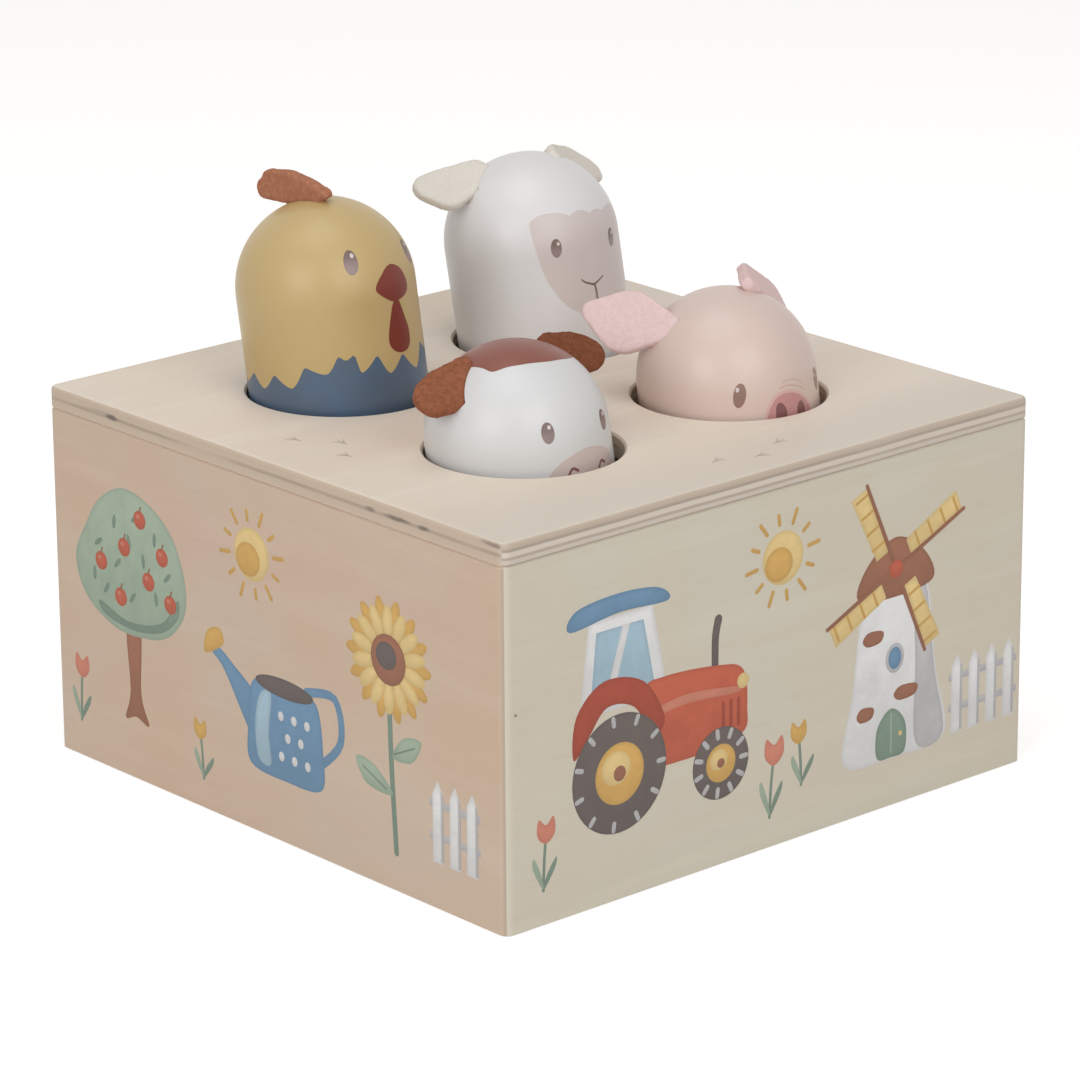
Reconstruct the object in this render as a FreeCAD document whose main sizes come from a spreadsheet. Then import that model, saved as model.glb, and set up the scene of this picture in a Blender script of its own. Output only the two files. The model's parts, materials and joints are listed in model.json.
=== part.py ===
import FreeCAD
import Part

import math
import os

import Sketcher

# Pop up animal toy: a wooden box with four round holes in its lid. A peg with an animal's
# head stands in each hole, and two see-saw rockers inside the box join the pegs in pairs,
# so that pressing one animal down lifts its partner.
#
# Frame: origin at the centre of the base, on the surface the box stands on. +Z is up,
# the animals face -Y, and +X is on their left hand. Millimetres and degrees.

doc = FreeCAD.newDocument("pop_up_animal_toy")

# --------------------------------------------------------------------------------------
# Driving sizes
# --------------------------------------------------------------------------------------

SIZES = [
    # box
    ("box_width", 180.0),          # along X
    ("box_depth", 180.0),          # along Y
    ("box_height", 100.0),         # surface to top of lid
    ("lid_thickness", 6.0),
    ("side_thickness", 9.0),
    ("base_thickness", 5.0),
    ("base_play", 0.3),            # base panel to the sides, all round
    ("corner_radius", 2.5),        # upright corners, rounded over after gluing
    ("lid_round", 1.2),            # upper edge of the lid
    ("joint_bevel", 0.5),          # small bevels either side of the glue line
    ("hole_bevel", 0.6),
    ("post_width", 15.0),          # glued into the corners
    ("post_bevel", 5.0),
    # screws that hold the base to the corner posts
    ("screw_radius", 1.75),
    ("screw_head_radius", 3.4),
    ("screw_length", 16.0),
    ("screw_play", 0.1),
    ("screw_slot_width", 0.9),
    ("screw_slot_depth", 1.0),
    # holes and pegs
    ("hole_share_across", 0.3917), # left hole to right hole, as a share of the box's width
    ("hole_share_along", 0.3917),  # front hole to back hole, as a share of its depth
    ("peg_radius", 23.3),          # also the radius of its round top
    ("peg_play", 2.0),             # peg to hole, all round
    ("peg_length", 60.3),          # foot disc to crown
    ("peg_bevel", 1.0),
    ("foot_radius", 26.8),
    ("foot_thickness", 5.0),
    ("foot_bevel", 1.2),
    ("foot_screw_length", 20.0),
    ("stop_play", 0.3),            # foot disc to underside of lid when fully up
    # rockers and axle
    ("axle_radius", 4.0),
    ("axle_below_lid", 33.7),      # underside of lid to the middle of the axle
    ("axle_socket", 5.0),          # depth of the blind holes in the side panels
    ("axle_bevel", 0.6),
    ("bore_play", 0.08),
    ("rocker_arm", 36.5),          # axle to centre of nose
    ("rocker_thickness", 18.0),
    ("nose_radius", 6.0),
    ("nose_rise", 6.5),            # centre of nose above the axle when level
    ("nose_play", 0.75),           # nose to foot disc at the end of the travel
    ("bar_drop", 2.0),             # top of the bar below the axle
    ("bar_depth", 13.0),           # at the middle
    ("belly_radius", 230.0),       # sweep of the bar's underside
    ("toe_radius", 5.0),
    ("finger_fillet", 5.0),
    ("rocker_bevel", 1.0),
    ("hub_radius", 7.0),
    ("hub_width", 24.0),
    ("hub_play", 0.4),             # hub to spacer tube
    ("spacer_wall", 2.0),
    # how each peg stands in its hole: shift of its axis where it passes the lid, how far
    # it leans, and how far it is turned on its axis
    ("chicken_shift_x", -0.75),
    ("chicken_shift_y", 0.55),
    ("chicken_lean_x_angle", -5.2),
    ("chicken_lean_y_angle", 3.2),
    ("chicken_turn_angle", 10.0),
    ("sheep_shift_x", 0.3),
    ("sheep_shift_y", 0.6),
    ("sheep_lean_x_angle", -4.5),
    ("sheep_lean_y_angle", 6.3),
    ("sheep_turn_angle", 0.0),
    ("cow_shift_x", -0.34),
    ("cow_shift_y", 0.85),
    ("cow_lean_x_angle", -5.4),
    ("cow_lean_y_angle", 5.2),
    ("cow_turn_angle", 4.0),
    ("pig_shift_x", -0.45),
    ("pig_shift_y", -0.8),
    ("pig_lean_x_angle", -4.3),
    ("pig_lean_y_angle", 4.4),
    ("pig_turn_angle", -2.0),
    # felt
    ("felt_thickness", 3.0),
    ("felt_play", 0.3),
    ("felt_root", 6.0),            # how deep an ear goes into its slot
    # ears: the radii of the round root, the widest part and the tip, and how far the ear
    # reaches out. It is swept to the back and leans back on its slot, and the pair is
    # turned on the head. Each slot lies some way down from the crown; the root's rise is
    # its height above the ear's middle line, and the droop is the fall of the ear's tip.
    ("sheep_ear_root", 4.0),
    ("sheep_ear_belly", 5.9),
    ("sheep_ear_belly_at", 7.6),
    ("sheep_ear_tip", 4.0),
    ("sheep_ear_length", 16.1),
    ("sheep_ear_sweep_angle", 15.0),
    ("sheep_ear_lean_angle", 50.0),
    ("sheep_ear_turn_angle", -7.5),
    ("sheep_left_slot_angle", 43.5),
    ("sheep_left_root_rise", 5.6),
    ("sheep_left_droop_angle", -14.0),
    ("sheep_right_slot_angle", 32.7),
    ("sheep_right_root_rise", -2.3),
    ("sheep_right_droop_angle", 33.2),
    ("cow_ear_root", 2.2),
    ("cow_ear_belly", 5.6),
    ("cow_ear_belly_at", 4.3),
    ("cow_ear_tip", 4.9),
    ("cow_ear_length", 13.0),
    ("cow_ear_sweep_angle", 2.0),
    ("cow_ear_lean_angle", 41.0),
    ("cow_ear_turn_angle", -5.7),
    ("cow_left_slot_angle", 42.3),
    ("cow_left_root_rise", 2.7),
    ("cow_left_droop_angle", 10.4),
    ("cow_right_slot_angle", 48.8),
    ("cow_right_root_rise", 2.7),
    ("cow_right_droop_angle", 15.6),
    ("pig_ear_root", 1.5),
    ("pig_ear_belly", 8.1),
    ("pig_ear_belly_at", 9.6),
    ("pig_ear_tip", 2.3),
    ("pig_ear_length", 22.4),
    ("pig_ear_sweep_angle", 56.0),
    ("pig_ear_lean_angle", 38.8),
    ("pig_ear_turn_angle", -15.0),
    ("pig_left_slot_angle", 48.0),
    ("pig_left_root_rise", 2.3),
    ("pig_left_droop_angle", -12.6),
    ("pig_right_slot_angle", 28.2),
    ("pig_right_root_rise", 2.3),
    ("pig_right_droop_angle", 14.7),
    ("comb_front_reach", 5.2),     # crown to the comb's front tip
    ("comb_back_reach", 18.4),     # crown to the back lobes
    ("comb_height", 6.6),          # above the crown
    ("comb_depth", 4.5),           # sunk into the slot
    ("comb_tip_radius", 1.3),
    ("comb_tip_height", 2.2),      # centre of the tip, above the crown
    ("comb_body_radius", 4.05),
    ("comb_body_reach", 7.3),      # crown to the body's centre
    ("comb_lobe_radius", 2.5),
    ("comb_upper_reach", 13.7),    # crown to the upper lobe's centre
    ("comb_upper_height", 3.9),
    ("comb_lower_height", 1.65),
    ("comb_tongue_front", 2.6),    # the tongue that sits in the slot
    ("comb_tongue_back", 6.1),
]

sheet = doc.addObject("Spreadsheet::Sheet", "Sizes")
for row, (alias, value) in enumerate(SIZES, start=1):
    sheet.set(f"A{row}", alias)
    sheet.set(f"B{row}", str(value))
    sheet.setAlias(f"B{row}", alias)
doc.recompute()


def size(alias):
    """The value of a cell of the sheet."""
    return float(sheet.get(alias))


# --------------------------------------------------------------------------------------
# Sketch and feature helpers
# --------------------------------------------------------------------------------------

X_AXIS = FreeCAD.Vector(1, 0, 0)
Y_AXIS = FreeCAD.Vector(0, 1, 0)
Z_AXIS = FreeCAD.Vector(0, 0, 1)


def new_body(name):
    body = doc.addObject("PartDesign::Body", name)
    body.Label = name
    return body


def new_sketch(body, role, name):
    """A sketch on one of the body's own origin planes, found by its role."""
    plane = next(item for item in body.Origin.OriginFeatures if item.Role == role)
    sketch = body.newObject("Sketcher::SketchObject", name)
    sketch.AttachmentSupport = [(plane, "")]
    sketch.MapMode = "FlatFace"
    return sketch


def draw_rectangle(sketch, width, depth):
    """A rectangle centred on the sketch's origin, with both sizes as expressions."""
    x, y = sketch_value(width) / 2, sketch_value(depth) / 2
    for edge in chain([(-x, -y), (x, -y), (x, y), (-x, y)]):
        sketch.addGeometry(edge, False)
    for index in range(4):
        sketch.addConstraint(Sketcher.Constraint("Coincident", index, 2, (index + 1) % 4, 1))
    for index in (0, 2):
        sketch.addConstraint(Sketcher.Constraint("Horizontal", index))
        sketch.addConstraint(Sketcher.Constraint("Vertical", index + 1))
    sketch.addConstraint(Sketcher.Constraint("Symmetric", 0, 1, 2, 1, -1, 1))
    across = sketch.addConstraint(Sketcher.Constraint("DistanceX", 0, 1, 0, 2, 2 * x))
    sketch.setExpression(f"Constraints[{across}]", width)
    along = sketch.addConstraint(Sketcher.Constraint("DistanceY", 1, 1, 1, 2, 2 * y))
    sketch.setExpression(f"Constraints[{along}]", depth)


def draw_circle(sketch, radius, x="0", y="0"):
    """A circle whose radius and centre are expressions."""
    start = FreeCAD.Vector(sketch_value(x), sketch_value(y), 0)
    circle = sketch.addGeometry(Part.Circle(start, Z_AXIS, sketch_value(radius)), False)
    held = sketch.addConstraint(Sketcher.Constraint("Radius", circle, sketch_value(radius)))
    sketch.setExpression(f"Constraints[{held}]", radius)
    for kind, place, value in (("DistanceX", x, start.x), ("DistanceY", y, start.y)):
        if place == "0":
            axis = -2 if kind == "DistanceX" else -1
            sketch.addConstraint(Sketcher.Constraint("PointOnObject", circle, 3, axis))
        else:
            held = sketch.addConstraint(Sketcher.Constraint(kind, -1, 1, circle, 3, value))
            sketch.setExpression(f"Constraints[{held}]", place)


def sketch_value(expression):
    """An expression's present value, so that a sketch starts near its solution."""
    value = sheet.evalExpression(expression.replace("Sizes.", ""))
    return float(getattr(value, "Value", value))


def draw_outline(sketch, edges):
    """A closed outline of lines and arcs that are worked out from the sheet."""
    for edge in edges:
        index = sketch.addGeometry(edge, False)
        sketch.addConstraint(Sketcher.Constraint("Block", index))


def add_pad(body, sketch, length, both_ways=False):
    pad = body.newObject("PartDesign::Pad", sketch.Name + "_pad")
    pad.Profile = sketch
    pad.setExpression("Length", length)
    if both_ways:
        pad.Midplane = True
    sketch.Visibility = False
    doc.recompute()
    return pad


def add_pocket(body, sketch, depth=None, reversed_way=False):
    """A pocket that has to take material away: right through, or to a depth."""
    before = body.Shape.Volume
    pocket = body.newObject("PartDesign::Pocket", sketch.Name + "_pocket")
    pocket.Profile = sketch
    pocket.Reversed = reversed_way
    if depth is None:
        pocket.Type = "ThroughAll"
        pocket.Midplane = True
    else:
        pocket.setExpression("Length", depth)
    doc.recompute()
    if body.Shape.Volume >= before - 1e-6:
        raise RuntimeError(f"{pocket.Name} takes nothing away")
    return pocket


def dress(body, kind, size_property, expression, picks):
    """A fillet or chamfer on the edges of the body's tip that picks(edge) accepts."""
    base = body.Tip
    names = [f"Edge{n}" for n, edge in enumerate(base.Shape.Edges, start=1) if picks(edge)]
    if not names:
        raise RuntimeError(f"{body.Name} has no edge for its {kind}")
    feature = body.newObject("PartDesign::" + kind, f"{body.Name}_{kind.lower()}")
    feature.Base = (base, names)
    feature.setExpression(size_property, expression)
    doc.recompute()
    return feature


def is_circle(edge):
    return edge.Curve.TypeId == "Part::GeomCircle"


def is_upright(edge):
    box = edge.BoundBox
    return box.XLength < 1e-6 and box.YLength < 1e-6


def lies_at(edge, height):
    box = edge.BoundBox
    return abs(box.ZMin - height) < 1e-6 and abs(box.ZMax - height) < 1e-6


def revolve(body, sketch):
    """Turns a profile in the XZ plane once round the body's own Z axis."""
    turned = body.newObject("PartDesign::Revolution", sketch.Name + "_turned")
    turned.Profile = sketch
    turned.ReferenceAxis = (sketch, ["V_Axis"])
    turned.Angle = 360
    doc.recompute()
    return turned


def line(start, end):
    return Part.LineSegment(FreeCAD.Vector(*start, 0), FreeCAD.Vector(*end, 0))


def arc(start, middle, end):
    points = [FreeCAD.Vector(*point, 0) for point in (start, middle, end)]
    return Part.Arc(*points)


def chain(points):
    """Lines that join the points in order, and back to the first."""
    return [line(a, b) for a, b in zip(points, points[1:] + points[:1])]


def leaf_outline(circles):
    """The line drawn tightly round a row of circles (x, y, radius), as lines and arcs.

    The row runs out along one side of the leaf and back along the other.
    """
    around = list(circles) + list(reversed(circles[1:-1]))
    contacts = []
    for (ax, ay, ar), (bx, by, br) in zip(around, around[1:] + around[:1]):
        gap = math.hypot(bx - ax, by - ay)
        ux, uy = (bx - ax) / gap, (by - ay) / gap
        lean = (ar - br) / gap
        across = math.sqrt(1 - lean * lean)
        mx, my = ux * lean + uy * across, uy * lean - ux * across
        contacts.append(((ax + ar * mx, ay + ar * my), (bx + br * mx, by + br * my), (mx, my)))
    edges = []
    for index, (start, end, out) in enumerate(contacts):
        edges.append(line(start, end))
        cx, cy, radius = around[(index + 1) % len(around)]
        next_start, _, next_out = contacts[(index + 1) % len(contacts)]
        first = math.atan2(out[1], out[0])
        turn = (math.atan2(next_out[1], next_out[0]) - first) % (2 * math.pi)
        half = first + turn / 2
        middle = (cx + radius * math.cos(half), cy + radius * math.sin(half))
        edges.append(arc(end, middle, next_start))
    return edges


def place(position, rotation=FreeCAD.Rotation()):
    return FreeCAD.Placement(FreeCAD.Vector(*position), rotation)


# --------------------------------------------------------------------------------------
# Box
# --------------------------------------------------------------------------------------

SIDE_HEIGHT = size("box_height") - size("lid_thickness")
HOLE_RADIUS = size("peg_radius") + size("peg_play")

# Distances between the holes, which grow with the box, and the height of the axle.
PITCH_ACROSS = "Sizes.box_width * Sizes.hole_share_across"
PITCH_ALONG = "Sizes.box_depth * Sizes.hole_share_along"
AXLE_HEIGHT = "Sizes.box_height - Sizes.lid_thickness - Sizes.axle_below_lid"


def make_lid():
    """The square lid with its four round holes."""
    body = new_body("lid")
    outline = new_sketch(body, "XY_Plane", "lid_outline")
    draw_rectangle(outline, "Sizes.box_width", "Sizes.box_depth")
    add_pad(body, outline, "Sizes.lid_thickness")
    dress(body, "Fillet", "Radius", "Sizes.corner_radius", is_upright)
    holes = new_sketch(body, "XY_Plane", "lid_holes")
    for x in (f"{PITCH_ACROSS} / 2", f"-{PITCH_ACROSS} / 2"):
        for y in (f"{PITCH_ALONG} / 2", f"-{PITCH_ALONG} / 2"):
            draw_circle(holes, "Sizes.peg_radius + Sizes.peg_play", x, y)
    add_pocket(body, holes)
    top = size("lid_thickness")

    def hole_rim(edge):
        return is_circle(edge) and edge.Curve.Radius > HOLE_RADIUS - 1e-6

    dress(body, "Chamfer", "Size", "Sizes.hole_bevel",
          lambda edge: hole_rim(edge) and lies_at(edge, top))
    dress(body, "Fillet", "Radius", "Sizes.lid_round",
          lambda edge: not hole_rim(edge) and lies_at(edge, top)
          and edge_is_outside(edge))
    dress(body, "Chamfer", "Size", "Sizes.joint_bevel",
          lambda edge: not hole_rim(edge) and lies_at(edge, 0) and edge_is_outside(edge))
    body.setExpression("Placement.Base.z", "Sizes.box_height - Sizes.lid_thickness")
    return body


def edge_is_outside(edge):
    """True for the outer rim of the lid: beyond the holes, on either axis."""
    middle = edge.CenterOfMass
    limit_x = sketch_value(PITCH_ACROSS) / 2 + HOLE_RADIUS
    limit_y = sketch_value(PITCH_ALONG) / 2 + HOLE_RADIUS
    return abs(middle.x) > limit_x or abs(middle.y) > limit_y


def make_side(name, length, reach, turn, has_axle):
    """One mitred side. It is drawn as the front side and turned about Z into its place.

    length is the side's own length and reach its distance from the middle of the box.
    """
    half, thickness = size(length) / 2, size("side_thickness")
    radius = size("corner_radius")
    far, near = size(reach) / 2, size(reach) / 2 - thickness
    mitre = radius * (1 - math.sqrt(0.5))
    sixteenth = radius * (1 - math.cos(math.pi / 8))
    back = radius * (1 - math.sin(math.pi / 8))
    outer_left, outer_right = (-half + mitre, -far + mitre), (half - mitre, -far + mitre)
    body = new_body(name)
    outline = new_sketch(body, "XY_Plane", name + "_outline")
    draw_outline(outline, [
        line((-half + radius, -far), (half - radius, -far)),
        arc((half - radius, -far), (half - back, -far + sixteenth), outer_right),
        line(outer_right, (half - thickness, -near)),
        line((half - thickness, -near), (-half + thickness, -near)),
        line((-half + thickness, -near), outer_left),
        arc(outer_left, (-half + back, -far + sixteenth), (-half + radius, -far)),
    ])
    add_pad(body, outline, "Sizes.box_height - Sizes.lid_thickness")
    dress(body, "Chamfer", "Size", "Sizes.joint_bevel",
          lambda edge: lies_at(edge, SIDE_HEIGHT) and edge.BoundBox.YMax < -near - 1e-6
          and edge.BoundBox.YMax - edge.BoundBox.YMin < radius)
    if has_axle:
        socket = new_sketch(body, "XZ_Plane", name + "_socket")
        socket.AttachmentOffset = place((0, 0, near))
        draw_circle(socket, "Sizes.axle_radius + Sizes.bore_play", "0", AXLE_HEIGHT)
        add_pocket(body, socket, "Sizes.axle_socket + Sizes.hub_play", True)
    body.Placement = place((0, 0, 0), FreeCAD.Rotation(Z_AXIS, turn))
    return body


def make_base():
    """The base panel, let in between the sides, with countersunk screw holes."""
    body = new_body("base_panel")
    outline = new_sketch(body, "XY_Plane", "base_outline")
    inset = "2 * Sizes.side_thickness - 2 * Sizes.base_play"
    draw_rectangle(outline, f"Sizes.box_width - {inset}", f"Sizes.box_depth - {inset}")
    add_pad(body, outline, "Sizes.base_thickness")
    holes = new_sketch(body, "XY_Plane", "base_holes")
    from_x = "(Sizes.box_width / 2 - Sizes.side_thickness - Sizes.post_width / 2)"
    from_y = "(Sizes.box_depth / 2 - Sizes.side_thickness - Sizes.post_width / 2)"
    for x in (from_x, "-" + from_x):
        for y in (from_y, "-" + from_y):
            draw_circle(holes, "Sizes.screw_radius + Sizes.screw_play", x, y)
    add_pocket(body, holes)
    dress(body, "Chamfer", "Size", "Sizes.screw_head_radius - Sizes.screw_radius",
          lambda edge: is_circle(edge) and lies_at(edge, 0))
    return body


def post_centre(side_x, side_y):
    """Where a corner post's middle is, in plan."""
    inset = size("side_thickness") + size("post_width") / 2
    return side_x * (size("box_width") / 2 - inset), side_y * (size("box_depth") / 2 - inset)


def make_post(name, side_x, side_y):
    """A square corner post, bevelled towards the middle, with its screw's pilot hole."""
    width, bevel = size("post_width"), size("post_bevel")
    half = width / 2
    body = new_body(name)
    outline = new_sketch(body, "XY_Plane", name + "_outline")
    corners = [(-half, -half + bevel), (-half + bevel, -half), (half, -half),
               (half, half), (-half, half)]
    draw_outline(outline, chain(corners))
    add_pad(body, outline, "Sizes.box_height - Sizes.lid_thickness - Sizes.base_thickness")
    pilot = new_sketch(body, "XY_Plane", name + "_pilot")
    draw_circle(pilot, "Sizes.screw_radius + Sizes.screw_play")
    add_pocket(body, pilot, "Sizes.screw_length", True)
    x, y = post_centre(side_x, side_y)
    turn = math.degrees(math.atan2(side_y, side_x) - math.pi / 4)
    body.Placement = place((x, y, size("base_thickness")), FreeCAD.Rotation(Z_AXIS, turn))
    return body


def screw_parts(name, length):
    """A countersunk wood screw, head down at its own origin and shank along +Z."""
    head = doc.addObject("Part::Cone", name + "_head")
    head.setExpression("Radius1", "Sizes.screw_head_radius")
    head.setExpression("Radius2", "Sizes.screw_radius")
    head.setExpression("Height", "Sizes.screw_head_radius - Sizes.screw_radius")
    shank = doc.addObject("Part::Cylinder", name + "_shank")
    shank.setExpression("Radius", "Sizes.screw_radius")
    shank.setExpression("Height", f"{length} - 2 * Sizes.screw_radius")
    tip = doc.addObject("Part::Cone", name + "_tip")
    tip.setExpression("Radius1", "Sizes.screw_radius")
    tip.setExpression("Radius2", "Sizes.screw_radius / 5")
    tip.setExpression("Height", "2 * Sizes.screw_radius")
    tip.setExpression("Placement.Base.z", f"{length} - 2 * Sizes.screw_radius")
    whole = doc.addObject("Part::MultiFuse", name + "_whole")
    whole.Shapes = [head, shank, tip]
    slots = []
    for letter, wide, deep in (("a", "2 * Sizes.screw_radius", "Sizes.screw_slot_width"),
                               ("b", "Sizes.screw_slot_width", "2 * Sizes.screw_radius")):
        slot = doc.addObject("Part::Box", f"{name}_slot_{letter}")
        slot.setExpression("Length", wide)
        slot.setExpression("Width", deep)
        slot.setExpression("Height", "Sizes.screw_slot_depth")
        slot.setExpression("Placement.Base.x", f"-({wide}) / 2")
        slot.setExpression("Placement.Base.y", f"-({deep}) / 2")
        slots.append(slot)
    cross = doc.addObject("Part::MultiFuse", name + "_cross")
    cross.Shapes = slots
    screw = doc.addObject("Part::Cut", name)
    screw.Base = whole
    screw.Tool = cross
    return screw


def make_base_screws():
    """The four base screws, one node of four separate solids."""
    screws = []
    for number, (side_x, side_y) in enumerate(CORNERS.values(), start=1):
        screw = screw_parts(f"base_screw_{number}", "Sizes.screw_length")
        x, y = post_centre(side_x, side_y)
        screw.Placement = place((x, y, 0))
        screws.append(screw)
    group = doc.addObject("Part::Compound", "base_screws")
    group.Label = "base_screws"
    group.Links = screws
    return group


# On which side of the middle each corner is, across and along.
CORNERS = {
    f"{row}_{column}": (side_x, side_y)
    for row, side_y in (("front", -1), ("back", 1))
    for column, side_x in (("left", -1), ("right", 1))
}


# --------------------------------------------------------------------------------------
# Axle, spacers and rockers
# --------------------------------------------------------------------------------------

ROCKER_X = sketch_value(PITCH_ACROSS) / 2


def make_axle():
    """The dowel that both rockers turn on, let into blind holes in the two ends."""
    body = new_body("axle")
    outline = new_sketch(body, "YZ_Plane", "axle_section")
    draw_circle(outline, "Sizes.axle_radius")
    reach = "Sizes.box_width - 2 * Sizes.side_thickness + 2 * Sizes.axle_socket"
    add_pad(body, outline, reach, both_ways=True)
    dress(body, "Chamfer", "Size", "Sizes.axle_bevel", is_circle)
    body.setExpression("Placement.Base.z", AXLE_HEIGHT)
    return body


def make_spacer(name, length, middle):
    """A tube on the axle that keeps a rocker under its pegs. Both sizes are expressions."""
    body = new_body(name)
    section = new_sketch(body, "YZ_Plane", name + "_section")
    draw_circle(section, "Sizes.axle_radius + Sizes.bore_play + Sizes.spacer_wall")
    draw_circle(section, "Sizes.axle_radius + Sizes.bore_play")
    add_pad(body, section, length, both_ways=True)
    body.setExpression("Placement.Base.x", middle)
    body.setExpression("Placement.Base.z", AXLE_HEIGHT)
    return body


def rocker_outline():
    """Side view of a rocker: a bellied bar with an upright round-nosed finger at each end."""
    arm, nose, rise = size("rocker_arm"), size("nose_radius"), size("nose_rise")
    top, fillet = -size("bar_drop"), size("finger_fillet")
    outer, inner = arm + nose, arm - nose
    corner = fillet * (1 - math.sqrt(0.5))
    belly, toe = size("belly_radius"), size("toe_radius")
    bottom = top - size("bar_depth")
    toe_y = outer - toe
    toe_z = bottom + belly - math.sqrt((belly - toe) ** 2 - toe_y ** 2)
    reach = belly / (belly - toe)
    touch = (toe_y * reach, bottom + belly + (toe_z - bottom - belly) * reach)
    half_way = (math.atan2(touch[1] - toe_z, touch[0] - toe_y)) / 2
    toe_middle = (toe_y + toe * math.cos(half_way), toe_z + toe * math.sin(half_way))
    edges = [
        arc((-touch[0], touch[1]), (0, bottom), touch),
        line((inner - fillet, top), (-inner + fillet, top)),
    ]
    for side in (1, -1):
        edges += [
            arc((side * touch[0], touch[1]), (side * toe_middle[0], toe_middle[1]),
                (side * outer, toe_z)),
            line((side * outer, toe_z), (side * outer, rise)),
            arc((side * outer, rise), (side * arm, rise + nose), (side * inner, rise)),
            line((side * inner, rise), (side * inner, top + fillet)),
            arc((side * inner, top + fillet), (side * (inner - corner), top + corner),
                (side * (inner - fillet), top)),
        ]
    return edges


def make_rocker(name, x, tilt):
    """A rocker on its axle. A positive tilt lifts its back end."""
    body = new_body(name)
    side_view = new_sketch(body, "YZ_Plane", name + "_side_view")
    draw_outline(side_view, rocker_outline())
    add_pad(body, side_view, "Sizes.rocker_thickness", both_ways=True)
    half = size("rocker_thickness") / 2
    dress(body, "Chamfer", "Size", "Sizes.rocker_bevel",
          lambda edge: abs(abs(edge.CenterOfMass.x) - half) < 1e-6)
    hub = new_sketch(body, "YZ_Plane", name + "_hub")
    draw_circle(hub, "Sizes.hub_radius")
    add_pad(body, hub, "Sizes.hub_width", both_ways=True)
    bore = new_sketch(body, "YZ_Plane", name + "_bore")
    draw_circle(bore, "Sizes.axle_radius + Sizes.bore_play")
    add_pocket(body, bore)
    body.Placement = place((x, 0, sketch_value(AXLE_HEIGHT)), FreeCAD.Rotation(X_AXIS, tilt))
    return body


# --------------------------------------------------------------------------------------
# How the pegs stand: the back pair is up against the lid, the front pair is down
# --------------------------------------------------------------------------------------


class Stand:
    """The line that one peg slides along, and how far up that line it stands at rest."""

    def __init__(self, animal, side_x, side_y):
        self.animal = animal
        self.turn = size(animal + "_turn_angle")
        lean_x = math.radians(size(animal + "_lean_x_angle"))
        lean_y = math.radians(size(animal + "_lean_y_angle"))
        self.axis = FreeCAD.Vector(math.tan(lean_x), math.tan(lean_y), 1).normalize()
        self.through = FreeCAD.Vector(
            side_x * ROCKER_X + size(animal + "_shift_x"),
            side_y * sketch_value(PITCH_ALONG) / 2 + size(animal + "_shift_y"),
            size("box_height") - size("lid_thickness") / 2)
        self.side_x = side_x
        self.side_y = side_y
        self.along = 0.0

    def foot(self):
        """Middle of the underside of the foot disc."""
        return self.through + self.axis * (self.along - size("foot_thickness"))

    def raise_to_lid(self):
        """Puts the foot disc's upper rim just below the lid."""
        slope = math.sqrt(1 - self.axis.z ** 2)
        height = SIDE_HEIGHT - size("stop_play") - size("foot_radius") * slope
        self.along = (height - self.through.z) / self.axis.z

    def room_above_nose(self, tilt):
        """How far the foot disc is above its rocker's nose, at that tilt of the rocker."""
        angle = math.radians(tilt)
        arm, rise = self.side_y * size("rocker_arm"), size("nose_rise")
        nose = FreeCAD.Vector(
            self.side_x * ROCKER_X,
            arm * math.cos(angle) - rise * math.sin(angle),
            sketch_value(AXLE_HEIGHT) + arm * math.sin(angle) + rise * math.cos(angle))
        across = abs(self.axis.x) * size("rocker_thickness") / 2
        round_part = size("nose_radius") * math.hypot(self.axis.y, self.axis.z)
        return (self.foot() - nose).dot(self.axis) - round_part - across

    def rest_on_nose(self, tilt):
        """Puts the foot disc just above the nose, at that tilt of the rocker."""
        self.along += size("nose_play") - self.room_above_nose(tilt)

    def placement(self):
        """Frame of the peg: origin at the foot disc's top, Z along the peg's axis."""
        rotation = FreeCAD.Rotation(Z_AXIS, self.axis) * FreeCAD.Rotation(Z_AXIS, self.turn)
        return FreeCAD.Placement(self.through + self.axis * self.along, rotation)


def tilt_that_meets(stand, low, high):
    """The rocker's tilt that brings its nose up to the foot disc of a raised peg."""
    for _ in range(60):
        middle = (low + high) / 2
        if (stand.room_above_nose(middle) > size("nose_play")) == (stand.side_y > 0):
            low = middle
        else:
            high = middle
    return (low + high) / 2


class Pair:
    """A front and a back peg and the rocker that joins them."""

    def __init__(self, front, back, side_x):
        self.front = Stand(front, side_x, -1)
        self.back = Stand(back, side_x, 1)
        self.back.raise_to_lid()
        self.tilt = tilt_that_meets(self.back, 0, 45)
        self.front.rest_on_nose(self.tilt)

    def travel(self):
        """The rocker's far tilt, and how far each peg slides on the way there."""
        front, back = Stand(self.front.animal, self.front.side_x, -1), self.back
        front.raise_to_lid()
        far = tilt_that_meets(front, -45, 0)
        low = Stand(back.animal, back.side_x, 1)
        low.rest_on_nose(far)
        return far, front.along - self.front.along, low.along - back.along


# --------------------------------------------------------------------------------------
# Pegs and felt
# --------------------------------------------------------------------------------------

HEAD_CENTRE = size("peg_length") - size("peg_radius")


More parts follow.
